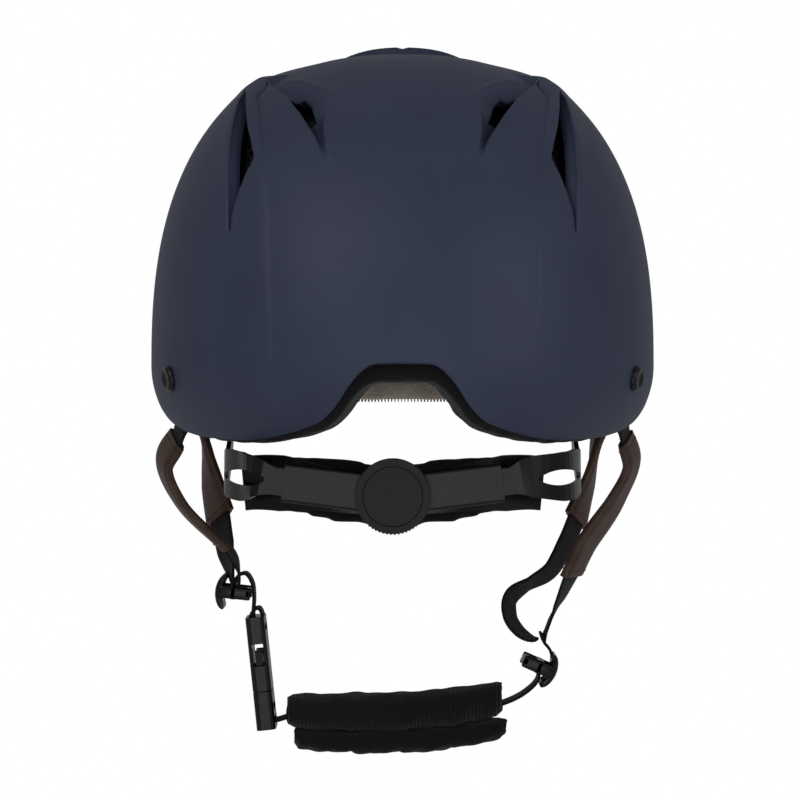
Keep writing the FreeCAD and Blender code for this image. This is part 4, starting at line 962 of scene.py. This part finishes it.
brown_leather = leather("brown_leather", (0.072, 0.036, 0.023), (0.026, 0.0125, 0.0085))
brown_thread = cloth("brown_thread", (0.050, 0.028, 0.018), 0.0004, 0.0001, sheen=0.2)
for name in ROUTES:
    stations, inside, count = strap_stations(name)
    path, along, side, out = strand(stations[inside:inside + count], 0.0015)
    flat = leather_section()
    section = [flat for _ in path]
    sleeve = section_loft("leather_sleeve_" + name, path, side, out, section)
    sharpen(sleeve, 60)
    sleeve.data.materials.append(brown_leather)
    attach(sleeve, "helmet")
    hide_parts("leather_" + name)
    rows = []
    run = np.concatenate([[0], np.cumsum(np.linalg.norm(np.diff(path, axis=0), axis=1))])
    reach = LEATHER_WIDE / 2 - STITCH_IN
    skin = LEATHER_EDGE / 2 + 0.00012
    for mark in np.arange(0.003, run[-1] - 0.003, STITCH_PITCH):
        p, a, s, o = [np.array([np.interp(mark, run, grid[:, k]) for k in range(3)])
                      for grid in (path, along, side, out)]
        for edge in (-1, 1):
            for face in (-1, 1):
                rows.append((p + s * edge * reach + o * face * skin, a, o * face))
    for mark in (0.003, run[-1] - 0.003):
        p, a, s, o = [np.array([np.interp(mark, run, grid[:, k]) for k in range(3)])
                      for grid in (path, along, side, out)]
        for across in np.arange(-0.0066, 0.0067, STITCH_PITCH):
            for face in (-1, 1):
                rows.append((p + s * across + o * face * (LEATHER_MIDDLE / 2 + 0.00012), s, o * face))
    thread = stitches("stitches_" + name, rows)
    thread.data.materials.append(brown_thread)
    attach(thread, "helmet")

# ---------------------------------------------------------------- comfort liner
# Removable pads of foam in brushed fabric, held in the cavity by hook dots: a beige brow band, a crown pad, two
# side pads and three thin webs between brow and crown. Their covers are sewn and turned over at the edges.


def settle(item, pressure, cap):
    """Lets a cover fill out: cloth under pressure for twenty steps, no point moving beyond the cap."""
    rest = np.array([v.co for v in item.data.vertices])
    modifier = item.modifiers.new("fill", "CLOTH")
    modifier.settings.use_pressure = True
    modifier.settings.uniform_pressure_force = pressure
    modifier.settings.effector_weights.gravity = 0
    for step in range(1, 21):
        bpy.context.scene.frame_set(step)
    shown = item.evaluated_get(bpy.context.evaluated_depsgraph_get())
    filled = np.array([v.co for v in shown.data.vertices])
    bpy.context.scene.frame_set(1)
    item.modifiers.remove(modifier)
    move = filled - rest
    far = np.linalg.norm(move, axis=1, keepdims=True)
    rest = rest + move * np.minimum(1, cap / np.maximum(far, 1e-9))
    item.data.vertices.foreach_set("co", rest.ravel())
    item.data.update()


def apply_all(item):
    shown = item.evaluated_get(bpy.context.evaluated_depsgraph_get())
    data = bpy.data.meshes.new_from_object(shown)
    item.modifiers.clear()
    item.data = data


def stuffed(name, source, voxel, shrink, pressure, cap, rounds=6):
    """A sewn cover over foam: a shape drawn in a little, remeshed, softened, filled out and refined."""
    item = bpy.data.objects.new(name, source.copy())
    bpy.context.collection.objects.link(item)
    item.data.materials.clear()
    shape = bmesh.new()
    shape.from_mesh(item.data)
    bmesh.ops.remove_doubles(shape, verts=shape.verts, dist=1e-5)
    bmesh.ops.recalc_face_normals(shape, faces=shape.faces)
    shape.normal_update()
    for vert in shape.verts:
        vert.co -= vert.normal * shrink
    shape.to_mesh(item.data)
    shape.free()
    grid = item.modifiers.new("grid", "REMESH")
    grid.mode = "VOXEL"
    grid.voxel_size = voxel
    soft = item.modifiers.new("soft", "SMOOTH")
    soft.iterations = rounds
    apply_all(item)
    settle(item, pressure, cap)
    item.modifiers.new("fine", "SUBSURF").levels = 1
    apply_all(item)
    item.data.shade_smooth()
    return item


beige_fabric = cloth("beige_fabric", (0.36, 0.31, 0.265), 0.0007, 0.00022, sheen=0.3)
black_fabric = cloth("black_fabric", (0.0050, 0.0050, 0.0056), 0.0008, 0.00025, sheen=0.08)
PADS = (("brow_band", "brow_pad", "comfort_liner", beige_fabric, "beige_fabric", 0.0028),
        ("crown_cushion", "crown_pad", "comfort_liner", black_fabric, "black_fabric", 0.0040),
        ("side_cushion_left", "side_pad_left", "helmet", black_fabric, "black_fabric", 0.0028),
        ("side_cushion_right", "side_pad_right", "helmet", black_fabric, "black_fabric", 0.0028))
for name, node, body, finish, slot, cap in PADS:
    pad = stuffed(name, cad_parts[node].data, 0.0026, 0.0009, 4, cap)
    pad.data.materials.append(finish)
    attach(pad, body)
    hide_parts(node)

# the overlocked lower edge of the brow band: small upright stitches in beige thread
low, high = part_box("brow_pad")
BROW_TURNS = (137, 223)
rows = []
for turn in np.radians(np.arange(*BROW_TURNS, 0.9)):
    here = on_skin(cavity, np.array([turn]), low[2] + 0.0016, 0.0040)[0]
    towards = np.array([-here[0], -here[1], 0]) / math.hypot(here[0], here[1])
    rows.append((here, np.array([0, 0, 1.0]), towards))
    rows.append((here - towards * 0.0030, np.array([0, 0, 1.0]), -towards))
brow_thread = stitches("brow_overlock", rows)
brow_thread.data.materials.append(cloth("beige_thread", (0.30, 0.26, 0.22), 0.0004, 0.0001))
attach(brow_thread, "comfort_liner")

webs = stuffed("thin_webs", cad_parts["liner_webs"].data, 0.0009, 0.0, 2, 0.0006, rounds=2)
webs.data.materials.append(black_fabric)
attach(webs, "comfort_liner")
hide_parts("liner_webs")

# hook dots: glued discs of woven hooks that hold the pads
dress(cloth("hook_tape", (0.014, 0.014, 0.015), 0.0005, 0.0004, sheen=0.1), "hook_dots")

# ---------------------------------------------------------------- nape cradle
# Glossy black nylon: a housing with two wings, a rear cover, a ratchet ring and two toothed arms that swing
# on studs at the temples. The pad carrier clips on in front of it, with the nape pad glued to it.
black_nylon = moulding("black_nylon", (0.0030, 0.0030, 0.0032), 0.24, 0.0009, 0.000008)
dull_nylon = moulding("dull_nylon", (0.0040, 0.0040, 0.0042), 0.42, 0.0006, 0.000012)
dress(black_nylon, "dial_housing", "cradle_arm_left", "cradle_arm_right", "pad_carrier")
dress(dull_nylon, "housing_cover", "ratchet_ring", "cradle_studs")
nape = stuffed("nape_cushion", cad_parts["nape_pad"].data, 0.0022, 0.0007, 4, 0.0022)
nape.data.materials.append(black_fabric)
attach(nape, "cradle")
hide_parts("nape_pad")

# ---------------------------------------------------------------- fitting dial
# A knurled knob moulded in black rubber-coated nylon on a steel screw, with a flat cap and a pinion that moves
# both toothed arms.
knob_rubber = moulding("knob_rubber", (0.0065, 0.0065, 0.0068), 0.46, 0.0007, 0.00002)
dress(knob_rubber, "dial_knob", "dial_cap")
dress(dull_nylon, "dial_pinion")
dress(metal("screw_steel", (0.45, 0.45, 0.46), 0.3), "dial_screw")

# ---------------------------------------------------------------- strap sliders
# Moulded nylon sliders where the straps meet under each ear: a curved outer plate, a middle bar and an inner bar
# between two cheeks. The webbing passes round the bars.
SLIDER_WIDE, SLIDER_TALL, CHEEK_THICK = 0.020, 0.0155, 0.0022


def bar(name, low, high, round_):
    """A rounded bar between two corners."""
    data = bpy.data.meshes.new(name)
    shape = bmesh.new()
    bmesh.ops.create_cube(shape, size=1)
    low, high = Vector(low), Vector(high)
    for vert in shape.verts:
        vert.co = Vector([(a + b) / 2 + (b - a) * c for a, b, c in zip(low, high, vert.co)])
    bmesh.ops.bevel(shape, geom=shape.edges[:], offset=round_, segments=3, profile=0.5, affect="EDGES")
    shape.to_mesh(data)
    shape.free()
    item = bpy.data.objects.new(name, data)
    bpy.context.collection.objects.link(item)
    return item


def slider(name, centre, side, lean):
    """A slider in its own frame, then leant about Y and set in place; side is the way its plate faces."""
    parts = []
    marks = np.linspace(-1, 1, 17)
    path = np.stack([0.0062 - 0.0026 * marks**2, 0 * marks, SLIDER_TALL / 2 * marks], axis=1)
    look = np.stack([np.ones(17), 0 * marks, 0.5 * marks], axis=1)
    out = look / np.linalg.norm(look, axis=1, keepdims=True)
    flat = rounded_strip(SLIDER_WIDE, 0.0030)
    section = [flat * np.array([1, max(0.35, math.sqrt(1 - 0.9 * t**6))]) for t in marks]
    parts.append(section_loft("plate", path, np.tile([0, 1.0, 0], (17, 1)), out, section))
    half = SLIDER_WIDE / 2
    parts.append(bar("middle", (-0.0022, -half, -0.0030), (0.0016, half, 0.0030), 0.0011))
    parts.append(bar("inner", (-0.0082, -half, -0.0020), (-0.0052, half, 0.0022), 0.0009))
    for edge in (-1, 1):
        y = sorted((edge * half, edge * (half - CHEEK_THICK)))
        parts.append(bar("cheek", (-0.0082, y[0], -0.0028), (0.0062, y[1], 0.0028), 0.0009))
    turn = math.radians(lean)
    for item in parts:
        for vert in item.data.vertices:
            x, z = vert.co.x, vert.co.z
            vert.co = Vector((centre[0] + side * (x * math.cos(turn) + z * math.sin(turn)), centre[1] + vert.co.y,
                              centre[2] + z * math.cos(turn) - x * math.sin(turn)))
        item.data.flip_normals() if side < 0 else None
    whole = joined(name, parts, black_nylon)
    whole.data.shade_smooth()
    sharpen(whole, 40)
    return whole


slider_left = slider("slider_left", (-0.0760, 0.009, -0.0860), -1, -6)
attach(slider_left, "helmet")
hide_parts("divider_left")
slider_right = slider("slider_right", (0.0615, 0.009, -0.1195), 1, 24)
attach(slider_right, "chin_strap")
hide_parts("divider_right")

# ---------------------------------------------------------------- chin buckle
# A side-release buckle of glossy black nylon on the wearer's left: a socket with windows at its sides, and a
# tongue with two springy prongs that hold the chin webbing.
dress(black_nylon, "buckle_socket", "buckle_tongue", "prong_rear", "prong_front")


def strip(name, stations, body, *nodes):
    """A run of webbing on its body."""
    web = webbing(name, stations)
    web.data.materials.append(web_black)
    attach(web, body)
    if nodes:
        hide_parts(*nodes)
    return web


def at(*rows):
    """Stations in millimetres as (x, z, facing x, facing z), all level with the ear."""
    return [(np.array([x, 9, z]) / 1000, np.array([fx, 0, fz], float)) for x, z, fx, fz in rows]


strip("webbing_buckle", at((-76.0, -84.5, -1, 0), (-74.4, -79.5, -0.6, 0.8), (-70.4, -77.8, 0.2, 1),
                           (-67.4, -82, 0.9, 0.4), (-66.6, -89, 1, 0), (-67.0, -96, 1, -0.1),
                           (-66.4, -103, 1, 0.1)), "helmet", "buckle_webbing")
strip("webbing_buckle_return", at((-64.2, -103, 1, 0), (-62.6, -97.5, 1, 0.2), (-64.4, -93.4, 0, 1),
                                  (-67.0, -94.5, -1, 0.5), (-68.6, -99, -1, 0), (-68.0, -103, -1, 0)), "helmet")

# ---------------------------------------------------------------- chin strap
# Webbing from the tongue to the right slider. A ribbed knitted sleeve of soft fleece covers it under the chin,
# with a sewn cushion in four lobes below.
CHIN = ((-62.2, -143.8, 0, -1), (-56.6, -143.6, 0, -1), (-50, -142, -0.1, -1), (-25, -143, 0, -1),
        (0, -142.5, 0, -1), (24, -140.5, 0.1, -1), (44, -136.4, 0.3, -1), (54.5, -131.5, 0.7, -1),
        (60.6, -125.5, 1, -0.2), (61.4, -119, 1, 0))
chin_web = strip("webbing_chin", at(*CHIN), "chin_strap", "chin_webbing")
joint_web = webbing("webbing_ear_right", at((62.0, -104.5, 1, 0), (63.4, -108.5, 1, 0.1), (66.4, -112.5, 1, 0.3),
                                         (67.6, -118, 1, 0), (65.6, -123.5, 1, -0.5), (62.6, -126, 0.5, -1)))
joint_web.data.materials.append(web_black)
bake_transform(joint_web)

RIB_PITCH = 0.0017
knit = cloth("ribbed_knit", (0.0048, 0.0048, 0.0056), 0.0009, 0.0005, sheen=0.10, ribs=("X", RIB_PITCH))
SLEEVE = ((-51.5, -139.4, 0.0110, 0.0060), (-49, -139.6, 0.0122, 0.0074), (-25, -140.6, 0.0132, 0.0077),
          (0, -140.1, 0.0134, 0.0078), (24, -138.1, 0.0132, 0.0077), (42, -134.4, 0.0122, 0.0074),
          (44.5, -133.6, 0.0110, 0.0060))
CUSHION_LOBES = (-47, -23, -1, 22, 45)


def soft_tube(name, spine, count, wave):
    """A soft bar along X: spine rows are (x, z, half width, half height) in mm and m; wave scales it by x."""
    xs, zs = [np.array([row[k] for row in spine]) / 1000 for k in (0, 1)]
    halves = [np.array([row[k] for row in spine]) for k in (2, 3)]
    rings = []
    for x in np.linspace(xs[0], xs[-1], count):
        centre = np.array([x, 0.009, np.interp(x, xs, zs)])
        wide, tall = np.interp(x, xs, halves[0]), np.interp(x, xs, halves[1])
        swell, dip = wave(x)
        ring = []
        for angle in np.linspace(0, 2 * math.pi, 40, endpoint=False):
            c, s = math.cos(angle), math.sin(angle)
            y = math.copysign(abs(c) ** 0.75, c) * wide * swell
            z = math.copysign(abs(s) ** 0.75, s) * tall
            z = z * (dip if z < 0 else 1)
            ring.append(centre + np.array([0, y, z]))
        rings.append(ring)
    return loft(name, rings)


def sleeve_wave(x):
    return 1, 1


def cushion_wave(x):
    marks = np.array(CUSHION_LOBES) / 1000
    k = int(np.clip(np.searchsorted(marks, x) - 1, 0, len(marks) - 2))
    t = np.clip((x - marks[k]) / (marks[k + 1] - marks[k]), 0, 1)
    lobe = math.sqrt(max(0.0, math.sin(math.pi * t)))
    return 0.93 + 0.07 * lobe, 0.70 + 0.32 * lobe


sleeve = soft_tube("knitted_sleeve", SLEEVE, 120, sleeve_wave)
settle(sleeve, 3, 0.0008)
points = np.array([v.co for v in sleeve.data.vertices])
points += ripple(points, 0.004, 0.00035, 2.0)
sleeve.data.vertices.foreach_set("co", points.ravel())
sleeve.data.materials.append(knit)
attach(sleeve, "chin_strap")
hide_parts("chin_sleeve")

CUSHION = ((-48.5, -151.2, 0.0085, 0.0034), (-46, -152.0, 0.0108, 0.0046), (-25, -153.2, 0.0126, 0.0050),
           (0, -152.9, 0.0130, 0.0050), (24, -151.0, 0.0126, 0.0050), (44, -147.5, 0.0108, 0.0046),
           (46.5, -146.8, 0.0085, 0.0034))
cushion = soft_tube("lobed_cushion", CUSHION, 140, cushion_wave)
settle(cushion, 3, 0.0006)
points = np.array([v.co for v in cushion.data.vertices])
points += ripple(points, 0.0035, 0.00040, 3.0)
cushion.data.vertices.foreach_set("co", points.ravel())
cushion.data.materials.append(black_fabric)
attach(cushion, "chin_strap")
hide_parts("chin_cushion")
